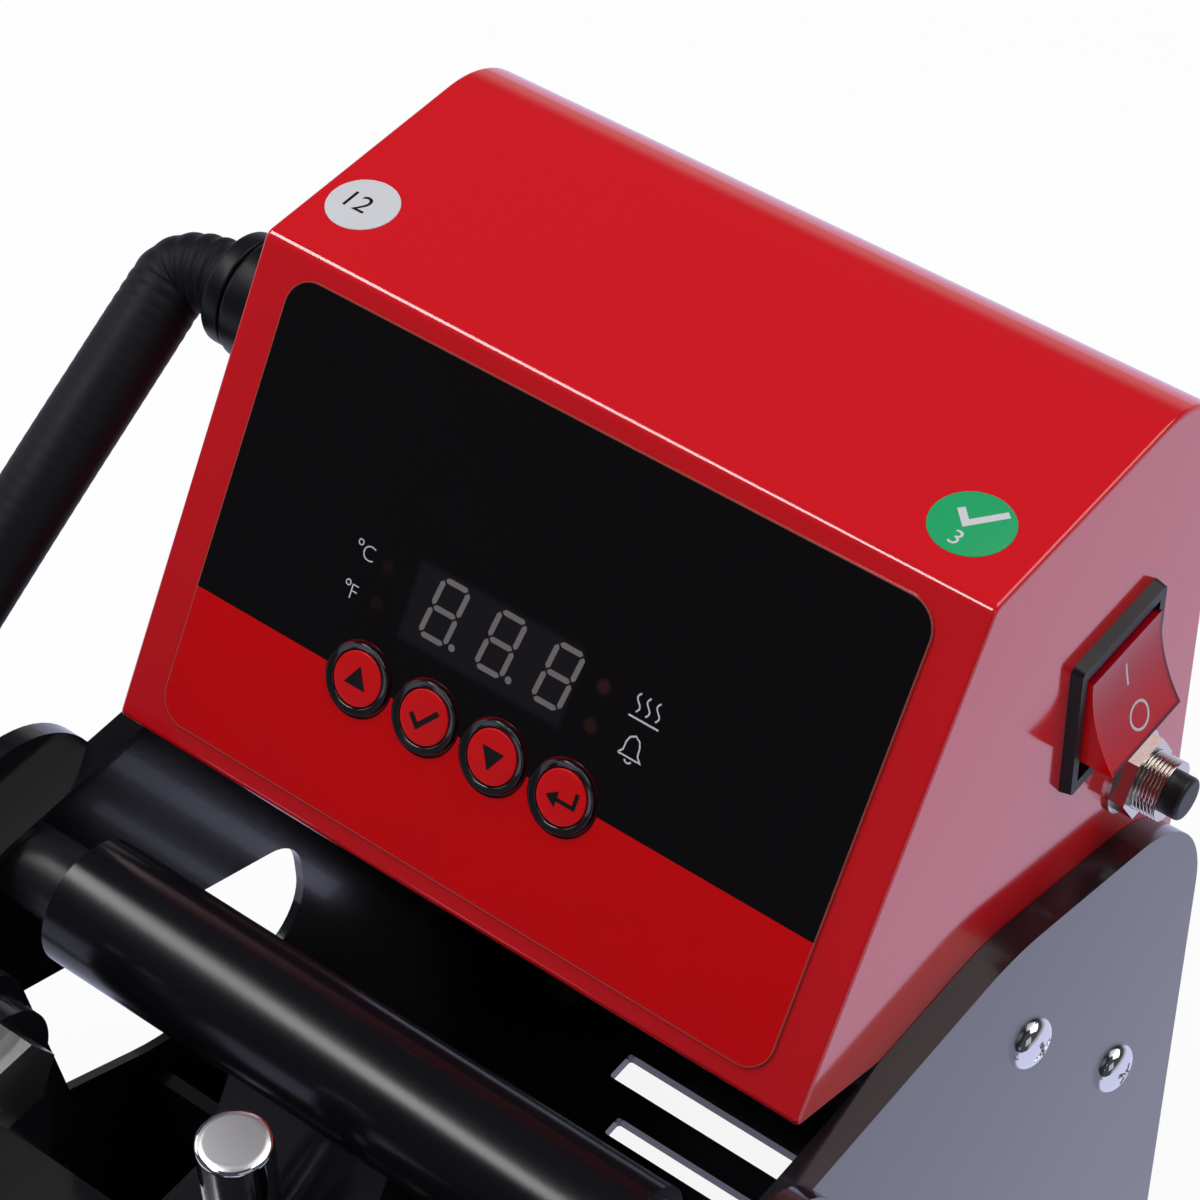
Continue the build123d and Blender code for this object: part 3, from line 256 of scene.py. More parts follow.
cloud = node_of(g, "ShaderNodeTexNoise", stretched, Scale=given["Cloud per metre"], Detail=2.0,
                Roughness=0.5).outputs[0]
rough = node_of(g, "ShaderNodeMapRange", cloud, From_Min=0.3, From_Max=0.7,
                To_Min=given["Roughness low"], To_Max=given["Roughness high"])
bump = node_of(g, "ShaderNodeBump", Distance=0.0004, Height=fine, Strength=given["Bump"])
g.links.new(blend_colour(g, cloud, given["Colour"], given["Shade"]), outs.inputs["Colour"])
g.links.new(rough.outputs[0], outs.inputs["Roughness"])
g.links.new(bump.outputs[0], outs.inputs["Normal"])


def finish(name, base, shade, roughness, grain, bump, metallic=0.0, stretch=(1, 1, 1),
           cloud=30.0, coat=0.0, specular=0.5):
    """A finish: the shared grain on one Principled shader, with even values of its own."""
    material, tree, shader = principled(name)
    even = dict(Metallic=metallic, Coat_Weight=coat, Coat_Roughness=0.05,
                Specular_IOR_Level=specular)
    for socket, value in even.items():
        shader.inputs[socket.replace("_", " ")].default_value = value
    grained = node_of(tree, "ShaderNodeGroup", (*base, 1), (*shade, 1), grain, cloud, stretch,
                      *roughness, bump, node_tree=grain_group)
    wires = {"Colour": "Base Color", "Roughness": "Roughness", "Normal": "Normal"}
    for output, socket in wires.items():
        tree.links.new(grained.outputs[output], shader.inputs[socket])
    return material


# %% [markdown]
# The box is sprayed in a warm red gloss. The frame is black powder coat, which is almost a mirror
# at a low angle and still shows a faint peel. Turned and plated steel parts are brighter. Turned
# steel and brushed chrome have their noise drawn out along one axis, which gives faint streaks.

# %% The finishes
red_gloss = finish("red_gloss_paint", (0.62, 0.0065, 0.012), (0.57, 0.006, 0.011), (0.09, 0.13),
                   700, 0.010, coat=0.40, cloud=12)
black_gloss = finish("black_powder_coat", (0.0075, 0.007, 0.009), (0.011, 0.010, 0.013),
                     (0.13, 0.20), 900, 0.03, cloud=14, coat=0.2)
tube_black = finish("black_tube_enamel", (0.004, 0.004, 0.005), (0.006, 0.006, 0.008), (0.17, 0.24),
                    900, 0.02, cloud=14, specular=0.32)
black_grain = finish("black_moulded_plastic", (0.009, 0.009, 0.010), (0.014, 0.014, 0.016),
                     (0.38, 0.5), 2600, 0.10, specular=0.35)
soft_black = finish("black_foam_rubber", (0.014, 0.014, 0.014), (0.022, 0.021, 0.02), (0.75, 0.9),
                    1500, 0.5)
foot_black = finish("foot_rubber", (0.012, 0.012, 0.012), (0.02, 0.02, 0.02), (0.6, 0.75), 1800,
                    0.25)
hose_black = finish("hose_nylon", (0.004, 0.004, 0.006), (0.007, 0.007, 0.009), (0.46, 0.58), 1200,
                    0.04, specular=0.18)
brushed = finish("brushed_chrome", (0.80, 0.78, 0.79), (0.68, 0.66, 0.68), (0.30, 0.38), 1600, 0.08,
                 metallic=1.0, stretch=(1, 0.08, 1))
chrome = finish("polished_chrome", (0.80, 0.80, 0.82), (0.72, 0.72, 0.75), (0.05, 0.10), 500, 0.01,
                metallic=1.0)
zinc = finish("zinc_plate", (0.62, 0.61, 0.58), (0.50, 0.50, 0.49), (0.25, 0.38), 1400, 0.08,
              metallic=1.0)
nickel = finish("nickel_plate", (0.68, 0.65, 0.60), (0.56, 0.53, 0.49), (0.14, 0.24), 1200, 0.05,
                metallic=1.0)
turned_steel = finish("turned_steel", (0.55, 0.55, 0.56), (0.42, 0.42, 0.44), (0.22, 0.38), 1500,
                      0.1, metallic=1.0, stretch=(0.06, 1, 1))
bronze = finish("sintered_bronze", (0.48, 0.30, 0.12), (0.36, 0.22, 0.09), (0.4, 0.55), 2600, 0.2,
                metallic=1.0)
cast_aluminium = finish("cast_aluminium", (0.60, 0.60, 0.61), (0.50, 0.50, 0.52), (0.35, 0.5), 900,
                        0.25, metallic=1.0)
silicone = finish("red_silicone_sponge", (0.50, 0.022, 0.016), (0.40, 0.016, 0.012), (0.55, 0.7),
                  2400, 0.35)
fibre = finish("ceramic_fibre", (0.70, 0.67, 0.58), (0.56, 0.52, 0.44), (0.85, 0.95), 1600, 0.9)
circuit = finish("circuit_board", (0.02, 0.16, 0.06), (0.015, 0.11, 0.04), (0.3, 0.4), 900, 0.05)
lamp_clear = finish("clear_lamp", (0.055, 0.022, 0.02), (0.045, 0.018, 0.016), (0.15, 0.25), 500,
                    0.02)
gland_black = finish("gland_nylon", (0.004, 0.004, 0.006), (0.007, 0.007, 0.009), (0.32, 0.44),
                     1500, 0.04, specular=0.2)
ring_black = finish("glossy_ring_plastic", (0.006, 0.005, 0.006), (0.009, 0.008, 0.009),
                    (0.10, 0.18), 900, 0.02, coat=0.4)
black_oxide = finish("black_oxide_steel", (0.009, 0.009, 0.011), (0.015, 0.015, 0.018),
                     (0.28, 0.42), 1300, 0.06, specular=0.3)
ink_black = finish("black_ink", (0.004, 0.003, 0.003), (0.007, 0.005, 0.005), (0.35, 0.48), 3000,
                   0.05, specular=0.25)
print_white = finish("white_ink", (0.62, 0.61, 0.62), (0.54, 0.53, 0.54), (0.30, 0.42), 3000, 0.05)
segment_grey = finish("unlit_segment", (0.20, 0.180, 0.170), (0.16, 0.142, 0.134), (0.25, 0.36),
                      2500, 0.04)
label_paper = finish("label_paper", (0.60, 0.60, 0.615), (0.55, 0.55, 0.565), (0.32, 0.45), 1800,
                     0.1)
label_green = finish("green_label_paper", (0.012, 0.36, 0.125), (0.010, 0.32, 0.108), (0.28, 0.38),
                     1800, 0.08)
red_cap = finish("red_button_plastic", (0.66, 0.0015, 0.003), (0.60, 0.0012, 0.0025), (0.28, 0.38),
                 2000, 0.04, specular=0.3)

finish_of = {
    red_gloss: ["box_shell", "left_end_panel", "right_end_panel"],
    black_gloss: ["left_side_plate", "right_side_plate", "base_plate", "bulkhead", "lower_bracket",
                  "rear_cover", "jaw_beam", "jaw_yoke", "platen_carrier", "platen_cover",
                  "cranks", "lever_arm", "left_link", "right_link"],
    black_oxide: ["hinge_spacers", "link_bolts"],
    tube_black: ["hinge_tube"],
    black_grain: ["power_relay_and_transformer", "button_rings", "rocker_switch_body",
                  "hose_gland", "platen_gland", "power_inlet", "pressure_knob", "breaker_button",
                  "display_module"],
    soft_black: ["handle_grip"],
    foot_black: ["rubber_feet"],
    hose_black: ["heater_hose"],
    chrome: ["guide_post", "plate_screws"],
    zinc: ["rear_tie_bar", "foot_screws", "platen_bolt", "carrier_screws", "hinge_nuts", "jaw_pins",
           "crank_pins"],
    turned_steel: ["hinge_shaft", "lever_shaft"],
    nickel: ["breaker_body", "breaker_nut"],
    bronze: ["hinge_bushes", "lever_bushes"],
    cast_aluminium: ["lower_platen", "heater_block"],
    silicone: ["silicone_pad"],
    fibre: ["insulation"],
    circuit: ["control_board"],
    lamp_clear: ["status_lamps"],
    red_cap: ["button_up", "button_ok", "button_down", "button_enter"],
}
for material, names in finish_of.items():
    for name in names:
        paint(name, material)
dressed = {name for names in finish_of.values() for name in names}
print("still plain:", sorted(set(nodes) - dressed))

# %% [markdown]
# The finer pieces are made as numbers first. A surface is a grid of points worked out by a formula
# in two directions, and each helper here turns one kind of grid into a mesh: a tube carried along a
# path, a profile turned round an axis, a flat stroke along a line. Sizes are in millimetres until
# the mesh is made. Neighbouring copies of a point, as at a pole, are merged, and the normals are
# worked out after that.

# %% Mesh helpers
mm = 0.001


def grid_faces(rows, columns, wrap_rows=False, wrap_columns=False):
    """Rows of four point numbers for a grid, which may close on itself in either direction."""
    r = np.arange(rows if wrap_rows else rows - 1)
    c = np.arange(columns if wrap_columns else columns - 1)
    r, c = np.meshgrid(r, c, indexing="ij")
    r2, c2 = (r + 1) % rows, (c + 1) % columns
    corners = [r * columns + c, r * columns + c2, r2 * columns + c2, r2 * columns + c]
    return np.stack(corners, axis=-1).reshape(-1, 4)


def new_piece(name, points, faces, material, body, smooth=35.0):
    """An object from points in millimetres and faces, merged, facing outwards, riding on a body."""
    mesh = bpy.data.meshes.new(name)
    points = np.asarray(points, dtype=float).reshape(-1, 3) * mm
    mesh.from_pydata(points.tolist(), [], [list(map(int, face)) for face in faces])
    work = bmesh.new()
    work.from_mesh(mesh)
    bmesh.ops.remove_doubles(work, verts=work.verts, dist=1e-6)
    bmesh.ops.dissolve_degenerate(work, dist=1e-7, edges=work.edges)
    bmesh.ops.recalc_face_normals(work, faces=work.faces)
    work.to_mesh(mesh)
    work.free()
    mesh.polygons.foreach_set("use_smooth", np.ones(len(mesh.polygons), dtype=bool))
    mesh.set_sharp_from_angle(angle=radians(smooth))
    mesh.materials.append(material)
    piece = bpy.data.objects.new(name, mesh)
    scene.collection.objects.link(piece)
    if body:
        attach(piece, body)
    return piece


def round_about(origin, axis, s, r, t):
    """Points round an axis: origin + s axis + r (cos t side + sin t up)."""
    axis = Vector(axis).normalized()
    side = axis.orthogonal().normalized()
    axis, side, up = (np.array(v) for v in (axis, side, axis.cross(side)))
    return (np.array(origin) + s[..., None] * axis + (r * np.cos(t))[..., None] * side
            + (r * np.sin(t))[..., None] * up)


def turned(profile, origin, axis, steps=64):
    """A profile of (distance along the axis, radius) turned round the axis."""
    profile = np.asarray(profile, dtype=float)
    t = np.linspace(0, 2 * pi, steps, endpoint=False)
    s, r = (profile[:, i][:, None] + 0 * t[None, :] for i in (0, 1))
    points = round_about(origin, axis, s, r, t).reshape(-1, 3)
    return points, grid_faces(len(profile), steps, wrap_columns=True)


def rounded(corners, radius, steps=5):
    """A profile's corners (distance, radius), each cut by a quarter curve of about that radius."""
    corners = np.asarray(corners, dtype=float)
    out = [corners[0]]
    for before, corner, after in zip(corners[:-2], corners[1:-1], corners[2:]):
        a, b = before - corner, after - corner
        cut = min(radius, np.hypot(*a) * 0.45, np.hypot(*b) * 0.45)
        a, b = corner + a / np.hypot(*a) * cut, corner + b / np.hypot(*b) * cut
        u = np.linspace(0, 1, steps)[:, None]
        out.extend((1 - u) ** 2 * a + 2 * u * (1 - u) * corner + u ** 2 * b)
    out.append(corners[-1])
    return np.array(out)


# The buttons' row on the panel, and the panel's own directions: x right, y up the slope, z out.
button_first, button_pitch, button_row = -29.5, 15.0, 31.0
panel_lean = atan2(51.7, 80.3)
panel_corner = np.array([0.0, 94.2, 190.0])
panel_x = np.array([1.0, 0.0, 0.0])
panel_y = np.array([0.0, sin(panel_lean), cos(panel_lean)])
panel_z = np.array([0.0, -cos(panel_lean), sin(panel_lean)])


def on_panel(x, y, z):
    """Places on the panel as points: corner + x right + y up the slope + z out."""
    x, y, z = np.broadcast_arrays(x, y, z)
    return panel_corner + x[..., None] * panel_x + y[..., None] * panel_y + z[..., None] * panel_z


def stroke(line, width):
    """A flat stroke along a line of (x, y): each point moved half the width to both sides.

    The side direction at a point is square to the line from its neighbour before to the one after,
    and is lengthened at a bend so that the stroke keeps its width."""
    line = np.asarray(line, dtype=float)
    runs = np.diff(line, axis=0)
    runs /= np.linalg.norm(runs, axis=1)[:, None]
    before = np.vstack([runs[:1], runs])
    after = np.vstack([runs, runs[-1:]])
    along = before + after
    along /= np.linalg.norm(along, axis=1)[:, None]
    side = np.stack([-along[:, 1], along[:, 0]], axis=1)
    stretch = 1 / np.clip((before * along).sum(axis=1), 0.4, 1)[:, None]
    edges = [line + side * stretch * width / 2, line - side * stretch * width / 2]
    return np.concatenate(edges), [[i, i + 1, len(line) + i + 1, len(line) + i]
                                   for i in range(len(line) - 1)]


def ring(x, y, radius, steps=48, start=0.0, end=360.0):
    """A line round a centre, from one angle to another, in degrees."""
    t = np.radians(np.linspace(start, end, steps))
    return np.stack([x + radius * np.cos(t), y + radius * np.sin(t)], axis=1)


def joined(shapes):
    """Several (points, faces) as one, with the later ones' point numbers moved on."""
    points, faces, count = [], [], 0
    for part_points, part_faces in shapes:
        points.append(np.asarray(part_points, dtype=float))
        faces.extend([[int(i) + count for i in face] for face in part_faces])
        count += len(part_points)
    return np.concatenate(points), faces


def drawn(name, curve):
    """A curve's points in its own units, and its faces if it has any."""
    holder = bpy.data.objects.new(name, curve)
    mesh = bpy.data.meshes.new_from_object(holder)
    points = np.empty(len(mesh.vertices) * 3)
    mesh.vertices.foreach_get("co", points)
    faces = [list(face.vertices) for face in mesh.polygons]
    bpy.data.objects.remove(holder)
    bpy.data.meshes.remove(mesh)
    return points.reshape(-1, 3), faces


def printed(name, shapes, height, material, body, place=on_panel):
    """Flat printed shapes laid on a surface, given as a function of (x, y, height)."""
    points, faces = joined(shapes)
    return new_piece(name, place(points[:, 0], points[:, 1], height), faces, material, body)


print("panel leans back", round(np.degrees(panel_lean), 2), "degrees")

# %% [markdown]
# ## The heater hose
#
# The hose is corrugated nylon that carries the heater's wires from the box to the moving platen.
# It is held in a gland at each end, so it isn't a loose cord, but its line is one all the same: a
# smooth spline with the route's points as its control points. The wall is then a ring of points
# carried along that line, whose radius goes up and down. The ribs are deep near the box's gland,
# where the hose is bent hardest, and further on they hardly show.

# %% The hose's line
hose_route = [(-88.5, 150.2, 247.5), (-101.5, 150.2, 247.5), (-101.5, 138.9, 241.1),
              (-101.5, 94.2, 216.0), (-112, 19.2, 152.0), (-112, -19.8, 108.1),
              (-112, -35.8, 90.0), (-87.8, -35.8, 90.0)]


def spline_line(name, route):
    """Points of a NURBS spline of order 3 that has the route's points as its control points."""
    curve = bpy.data.curves.new(name, "CURVE")
    curve.dimensions = "3D"
    curve.resolution_u = 24
    spline = curve.splines.new("NURBS")
    spline.points.add(len(route) - 1)
    flat = [value for x, y, z in route for value in (x * mm, y * mm, z * mm, 1.0)]
    spline.points.foreach_set("co", flat)
    spline.order_u = 3
    spline.use_endpoint_u = True
    return drawn(name, curve)[0] / mm


def even_steps(line, step):
    """The same line with points at even distances, and the distance of each along it."""
    lengths = np.concatenate([[0], np.cumsum(np.linalg.norm(np.diff(line, axis=0), axis=1))])
    count = int(lengths[-1] / step)
    at = np.linspace(0, lengths[-1], count + 1)
    return np.stack([np.interp(at, lengths, line[:, i]) for i in range(3)], axis=1), at


def carried(line, radii, steps):
    """Rings of points round a line: centre + r (cos t side + sin t up), square to the line.

    Each ring's side direction is the one before, with the part along the line taken out, so the
    tube doesn't twist."""
    along = np.gradient(line, axis=0)
    along /= np.linalg.norm(along, axis=1)[:, None]
    side = np.empty_like(line)
    last = np.cross(along[0], (0.3, 0.2, 0.9))
    for i, direction in enumerate(along):
        last = last - direction * last.dot(direction)
        last /= np.linalg.norm(last)
        side[i] = last
    up = np.cross(along, side)
    t = np.linspace(0, 2 * pi, steps, endpoint=False)
    spread = np.cos(t)[None, :, None] * side[:, None] + np.sin(t)[None, :, None] * up[:, None]
    points = line[:, None] + radii[:, None, None] * spread
    return points.reshape(-1, 3), grid_faces(len(line), steps, wrap_columns=True)


hose_line, along_hose = even_steps(spline_line("hose_line", hose_route), 0.25)
print("hose line", round(along_hose[-1], 1), "mm in", len(hose_line), "points")

# %% The hose's wall
rib_pitch, hose_radius, open_ribs = 2.5, 7.35, 26
near_gland = np.clip(1 - along_hose / open_ribs, 0, 1)
rib_depth = 0.035 + 0.48 * near_gland
rib_wave = 0.5 + 0.5 * np.cos(2 * pi * along_hose / rib_pitch)
hose_radii = hose_radius - rib_depth * (1 - rib_wave ** 0.6)
hose_points, hose_faces = carried(hose_line, hose_radii, 48)
hose_piece = new_piece("hose_wall", hose_points, hose_faces, hose_black, None, smooth=80)
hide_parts("heater_hose")
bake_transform(hose_piece)
print("hose faces", len(hose_faces))

# %% [markdown]
# ## The hose's glands
#
# Each gland is a moulded nylon fitting: a wide collar against the wall, a narrow groove, and a
# clamping cap with a rolled edge that holds the hose. It is round all the way, so its profile is
# turned about the hose's axis. Every edge of a moulding is rounded, and that is what catches light.

# %% Glands
def gland_profile():
    """Distance from the wall and radius, from the hose's bore out to the wall."""
    outline = [(12.8, 6.4), (12.8, 10.9), (8.9, 10.9), (8.7, 9.9), (8.0, 9.9), (7.9, 11.7),
               (0.0, 11.7)]
    return rounded(outline, 0.9)


for name, node, body, origin in (
        ("box_gland", "hose_gland", "frame", (-75.7, 150.2, 247.5)),
        ("heater_gland", "platen_gland", "heated_platen", (-75.0, -35.8, 90.0))):
    outer = turned(gland_profile(), origin, (-1, 0, 0), steps=96)
    bore = [(0.0, 8.9), (-3.2, 8.9), (-3.2, 6.4), (12.8, 6.4)]
    inner = turned(bore, origin, (-1, 0, 0), steps=96)
    gland = new_piece(name, *joined([outer, inner]), gland_black, body)
    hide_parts(node)
print("glands turned")

# %% [markdown]
# ## The panel's print
#
# The panel is a thin film, printed on its back and stuck into the box's front: black above, red
# below, with the black running round each button. The print is flat, so it belongs in the film's
# material and not in its shape. A Mapping node turns object coordinates into the panel's own, in
# metres to the right and up the slope, and plain sums then say which ink a point gets. The film's
# cut edge is clear and catches the light, and that light is painted into the colour as a thin pale
# line. Painted glints, lighter red spots, sit in the black where the status lamps are.

# %% The film's material
def panel_place(tree):
    """Object coordinates turned into the panel's: x right and y up the slope, in metres."""
    place = tree.nodes.new("ShaderNodeTexCoord").outputs["Object"]
    angle = panel_lean - pi / 2
    back = Matrix.Rotation(angle, 3, "X") @ Vector(panel_corner * mm)
    turn = node_of(tree, "ShaderNodeMapping", place, Rotation=(angle, 0, 0), Location=-back)
    return node_of(tree, "ShaderNodeSeparateXYZ", turn.outputs[0]).outputs[:2]


def reach(tree, across, up):
    """The square root of the sum of two squares."""
    return maths(tree, "SQRT", maths(tree, "ADD", maths(tree, "POWER", across, 2.0),
                                     maths(tree, "POWER", up, 2.0)))


box_group, ins, outs = new_group(
    "rounded_box_distance",
    [("Right", number, 0.0), ("Up", number, 0.0), ("Centre right", number, 0.0),
     ("Centre up", number, 0.0), ("Half width", number, 0.02), ("Half height", number, 0.01),
     ("Corner", number, 0.001)],
    [("Distance", number)])
g = box_group
out_sides = []
for place_name, half_name in (("Right", "Half width"), ("Up", "Half height")):
    centre = ins.outputs["Centre " + place_name.lower()]
    gap = maths(g, "ABSOLUTE", maths(g, "SUBTRACT", ins.outputs[place_name], centre))
    gap = maths(g, "SUBTRACT", gap, ins.outputs[half_name])
    out_sides.append(maths(g, "ADD", gap, ins.outputs["Corner"]))
beyond = [maths(g, "MAXIMUM", side, 0.0) for side in out_sides]
outside = reach(g, *beyond)
inside = maths(g, "MINIMUM", maths(g, "MAXIMUM", *out_sides), 0.0)
whole = maths(g, "SUBTRACT", maths(g, "ADD", outside, inside), ins.outputs["Corner"])
g.links.new(whole, outs.inputs["Distance"])


def box_distance(tree, right, up, centre, half, corner):
    """How far a point is outside a flat rounded box, in metres, less than nothing inside."""
    sizes = [value * mm for value in (*centre, *half, corner)]
    box = node_of(tree, "ShaderNodeGroup", right, up, *sizes, node_tree=box_group)
    return box.outputs["Distance"]


black_from, round_black_radius = 30.9, 7.2
row_centre = button_first + 1.5 * button_pitch
film, t, shader = principled("panel_film")
right, up = panel_place(t)
place = t.nodes.new("ShaderNodeTexCoord").outputs["Object"]
wobble = node_of(t, "ShaderNodeTexNoise", place, Scale=60.0, Detail=2.0).outputs[0]
from_first = maths(t, "SUBTRACT", right, button_first * mm)
step = maths(t, "WRAP", from_first, button_pitch / 2 * mm, -button_pitch / 2 * mm)
from_centre = maths(t, "ABSOLUTE", maths(t, "SUBTRACT", right, row_centre * mm))
near_buttons = maths(t, "LESS_THAN", from_centre, 2 * button_pitch * mm)
from_button = reach(t, step, maths(t, "SUBTRACT", up, button_row * mm))
in_round = maths(t, "LESS_THAN", from_button, round_black_radius * mm)
round_black = maths(t, "MULTIPLY", in_round, near_buttons)
black_ink = maths(t, "MAXIMUM", round_black, maths(t, "GREATER_THAN", up, black_from * mm))
window = box_distance(t, right, up, (-7.2, 48.9), (18.0, 7.7), 0.6)
in_window = maths(t, "SUBTRACT", 1.0, soft_step(t, window, -0.0012, 0.0004))
# Painted glints: lighter red spots are painted into the black print where the status lamps sit.
painted_lamp_glints = 0.0
lamp_places = [(-30.9, 51.9, 0.3), (-30.9, 45.0, 0.3), (15.9, 52.1, 1.0), (15.9, 44.8, 0.8)]
for x, y, strength in lamp_places:
    spot = box_distance(t, right, up, (x, y), (1.5, 1.5), 1.5)
    spot = maths(t, "SUBTRACT", 1.0, soft_step(t, spot, -0.0008, 0.0003))
    painted_lamp_glints = maths(t, "MULTIPLY_ADD", spot, strength, painted_lamp_glints)
# Painted highlight: a thin pale line is painted into the colour along the film's cut edge, where it
# catches the light.
edge = box_distance(t, right, up, (0.0, 48.25), (67.4, 43.25), 5.8)
painted_edge_highlight = soft_step(t, edge, -0.00030, -0.00012)
glass = blend_colour(t, wobble, (0.0085, 0.0075, 0.0100), (0.0110, 0.0085, 0.0105))
black = blend_colour(t, in_window, (0.0024, 0.0013, 0.0014), glass)
black = blend_colour(t, painted_lamp_glints, black, (0.030, 0.0085, 0.0085))
red = blend_colour(t, wobble, (0.66, 0.0005, 0.0020), (0.58, 0.0004, 0.0014))
inked = blend_colour(t, black_ink, red, black)
with_painted_edge = blend_colour(t, painted_edge_highlight, inked, (0.34, 0.07, 0.055))
t.links.new(with_painted_edge, shader.inputs["Base Color"])
rough = node_of(t, "ShaderNodeMapRange", wobble, To_Min=0.10, To_Max=0.17)
t.links.new(rough.outputs[0], shader.inputs["Roughness"])
swell = node_of(t, "ShaderNodeBump", Strength=0.05, Distance=0.0006, Height=wobble)
t.links.new(swell.outputs[0], shader.inputs["Normal"])
paint("panel_overlay", film)
print("film: black above", black_from, "mm, red below")

# %% [markdown]
# ## The display
#
# Behind the film's window is a three-digit display, switched off, so its segments show only as
# pale grey bars. A segment is a bar with pointed ends: six corners round a line, with a thin gap to
# its neighbours. All seven are the same shape between different corners of a figure eight, and the
# whole digit leans by eight degrees, so one small function draws all of them.

# %% Segments and points
digit_centres = [(-17.5, 49.7), (-5.15, 49.7), (7.2, 49.7)]
digit_wide, digit_high, half_bar = 5.4, 10.85, 0.52


def bar(start, end, half, gap):
    """A segment: the line from start to end, shortened by the gap, with pointed ends."""
    start, end = np.array(start, dtype=float), np.array(end, dtype=float)
    along = (end - start) / np.linalg.norm(end - start)
    side = np.array([-along[1], along[0]])
    a, b = start + along * gap, end - along * gap
    corners = [a, a + along * half + side * half, b - along * half + side * half,
               b, b - along * half - side * half, a + along * half - side * half]
    return np.array(corners), [[0, 1, 2, 3, 4, 5]]


def digit(x, y):
    """Seven bars of one digit round its centre, each leaning right by its height times tan 8."""
    w, h = digit_wide / 2, digit_high / 2
    ends = [((-w, h), (w, h)), ((-w, 0), (w, 0)), ((-w, -h), (w, -h)), ((-w, -h), (-w, 0)),
            ((-w, 0), (-w, h)), ((w, -h), (w, 0)), ((w, 0), (w, h))]
    shapes = []
    for points, faces in (bar(a, b, half_bar, 0.26) for a, b in ends):
        leaning = points[:, 0] + points[:, 1] * np.tan(radians(8))
        shapes.append((np.stack([x + leaning, y + points[:, 1]], axis=1), faces))
    return shapes


def disc(x, y, radius, steps=40):
    """A flat round spot, as one face."""
    return ring(x, y, radius, steps, 0, 360 * (1 - 1 / steps)), [list(range(steps))]


segment_shapes = [shape for x, y in digit_centres for shape in digit(x, y)]
for x, y in digit_centres[:2]:
    segment_shapes.append(disc(x + 3.55, y - 5.1, 0.68, 24))
film_face = 0.5
segments = printed("display_segments", segment_shapes, film_face + 0.02, segment_grey, "frame")
print("segments:", len(segment_shapes))

# %% [markdown]
# ## The marks on the film
#
# Small pale signs say what each lamp is for: degrees Celsius or Fahrenheit on the left, and on the
# right a heating sign, made of three rising waves over a bar, and a bell. The signs are strokes, a
# line given a width, and the two letters are text.

# %% Signs
def wave(x, low, high, swing):
    """A rising wave: x + swing sin along the way up."""
    u = np.linspace(0, 1, 25)
    return np.stack([x + swing * np.sin(2 * pi * u), low + (high - low) * u], axis=1)


def lettering(name, text, size, thin=0.0):
    """A short text as flat points and faces in millimetres, from its lower left corner."""
    curve = bpy.data.curves.new(name, "FONT")
    curve.body = text
    curve.size = size
    curve.offset = thin
    curve.resolution_u = 6
    points, faces = drawn(name, curve)
    return points[:, :2], faces


def moved(shape, x, y):
    """A flat shape with its lower left corner at (x, y)."""
    points, faces = shape
    return points - points.min(axis=0) + (x, y), faces


marks = []
for letter, y in (("C", 51.0), ("F", 43.3)):
    marks.append(stroke(ring(-37.5, y + 2.6, 0.5, 24), 0.22))
    marks.append(moved(lettering("letter_" + letter, letter, 4.2, thin=-0.07), -36.6, y))
for i in range(3):
    marks.append(stroke(wave(23.0 + 2.0 * i, 51.0, 54.4, 0.5), 0.3))
marks.append(stroke([(21.9, 50.0), (28.1, 50.0)], 0.34))
bell = np.array([(22.3, 43.2), (23.1, 44.1), (23.2, 45.6), (23.6, 46.6), (24.6, 47.2), (25.6, 46.6),
                 (26.0, 45.6), (26.1, 44.1), (26.9, 43.2), (22.3, 43.2)])
marks.append(stroke(bell, 0.3))
marks.append(stroke(ring(24.6, 42.9, 0.7, 16, 200, 340), 0.3))
mark_piece = printed("panel_marks", marks, film_face + 0.02, print_white, "frame")
print("marks:", len(marks))

# %% [markdown]
# ## Buttons
#
# Each button is a red cap in a black ring that stands a little proud of the film. Both are round
# and moulded, so both are turned profiles. The ring has a small round outer edge and a top that
# falls inwards, and that edge carries the thin arc of light round the upper right of the real one.

# %% Rings and caps
button_places = [(button_first + button_pitch * i, button_row) for i in range(4)]
button_names = ["up", "ok", "down", "enter"]


def bezel_ring(x, y):
    """A ring's section: a straight outer wall, a small round edge, and a top that falls inwards."""
    outline = [(-1.0, 6.62), (1.25, 6.55), (1.45, 6.35), (1.1, 5.25), (-1.0, 5.15)]
    return turned(rounded(outline, 0.22), on_panel(x, y, 0.0), panel_z, steps=96)


rings = new_piece("button_bezels", *joined([bezel_ring(x, y) for x, y in button_places]),
                  ring_black, "frame", smooth=60)
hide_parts("button_rings")


def cap(x, y):
    """A cap with a soft edge and a slight crown, height 1.25 - 0.12 (r / 5)^2, and its stem."""
    r = np.linspace(0, 4.5, 8)
    crown = np.stack([1.25 - 0.12 * (r / 5) ** 2, r], axis=1)
    edge = rounded([crown[-1], (1.1, 5.05), (-2.0, 5.05), (-2.0, 2.0), (-6.2, 2.0), (-6.2, 0.0)],
                   0.3)
    return turned(np.concatenate([crown[:-1], edge]), on_panel(x, y, 0.0), panel_z, steps=64)


def triangle(x, y, size):
    """A filled triangle, pointing up for a positive size and down for a negative one."""
    return (np.array([(x - abs(size), y - 0.62 * size), (x + abs(size), y - 0.62 * size),
                      (x, y + 1.08 * size)]), [[0, 1, 2]])


def tick(x, y, size):
    """A tick: a short run down and a long run up."""
    line = np.array([(-1, -0.05), (-0.3, -0.75), (1, 0.8)]) * size + (x, y)
    return stroke(line, 0.38 * size)


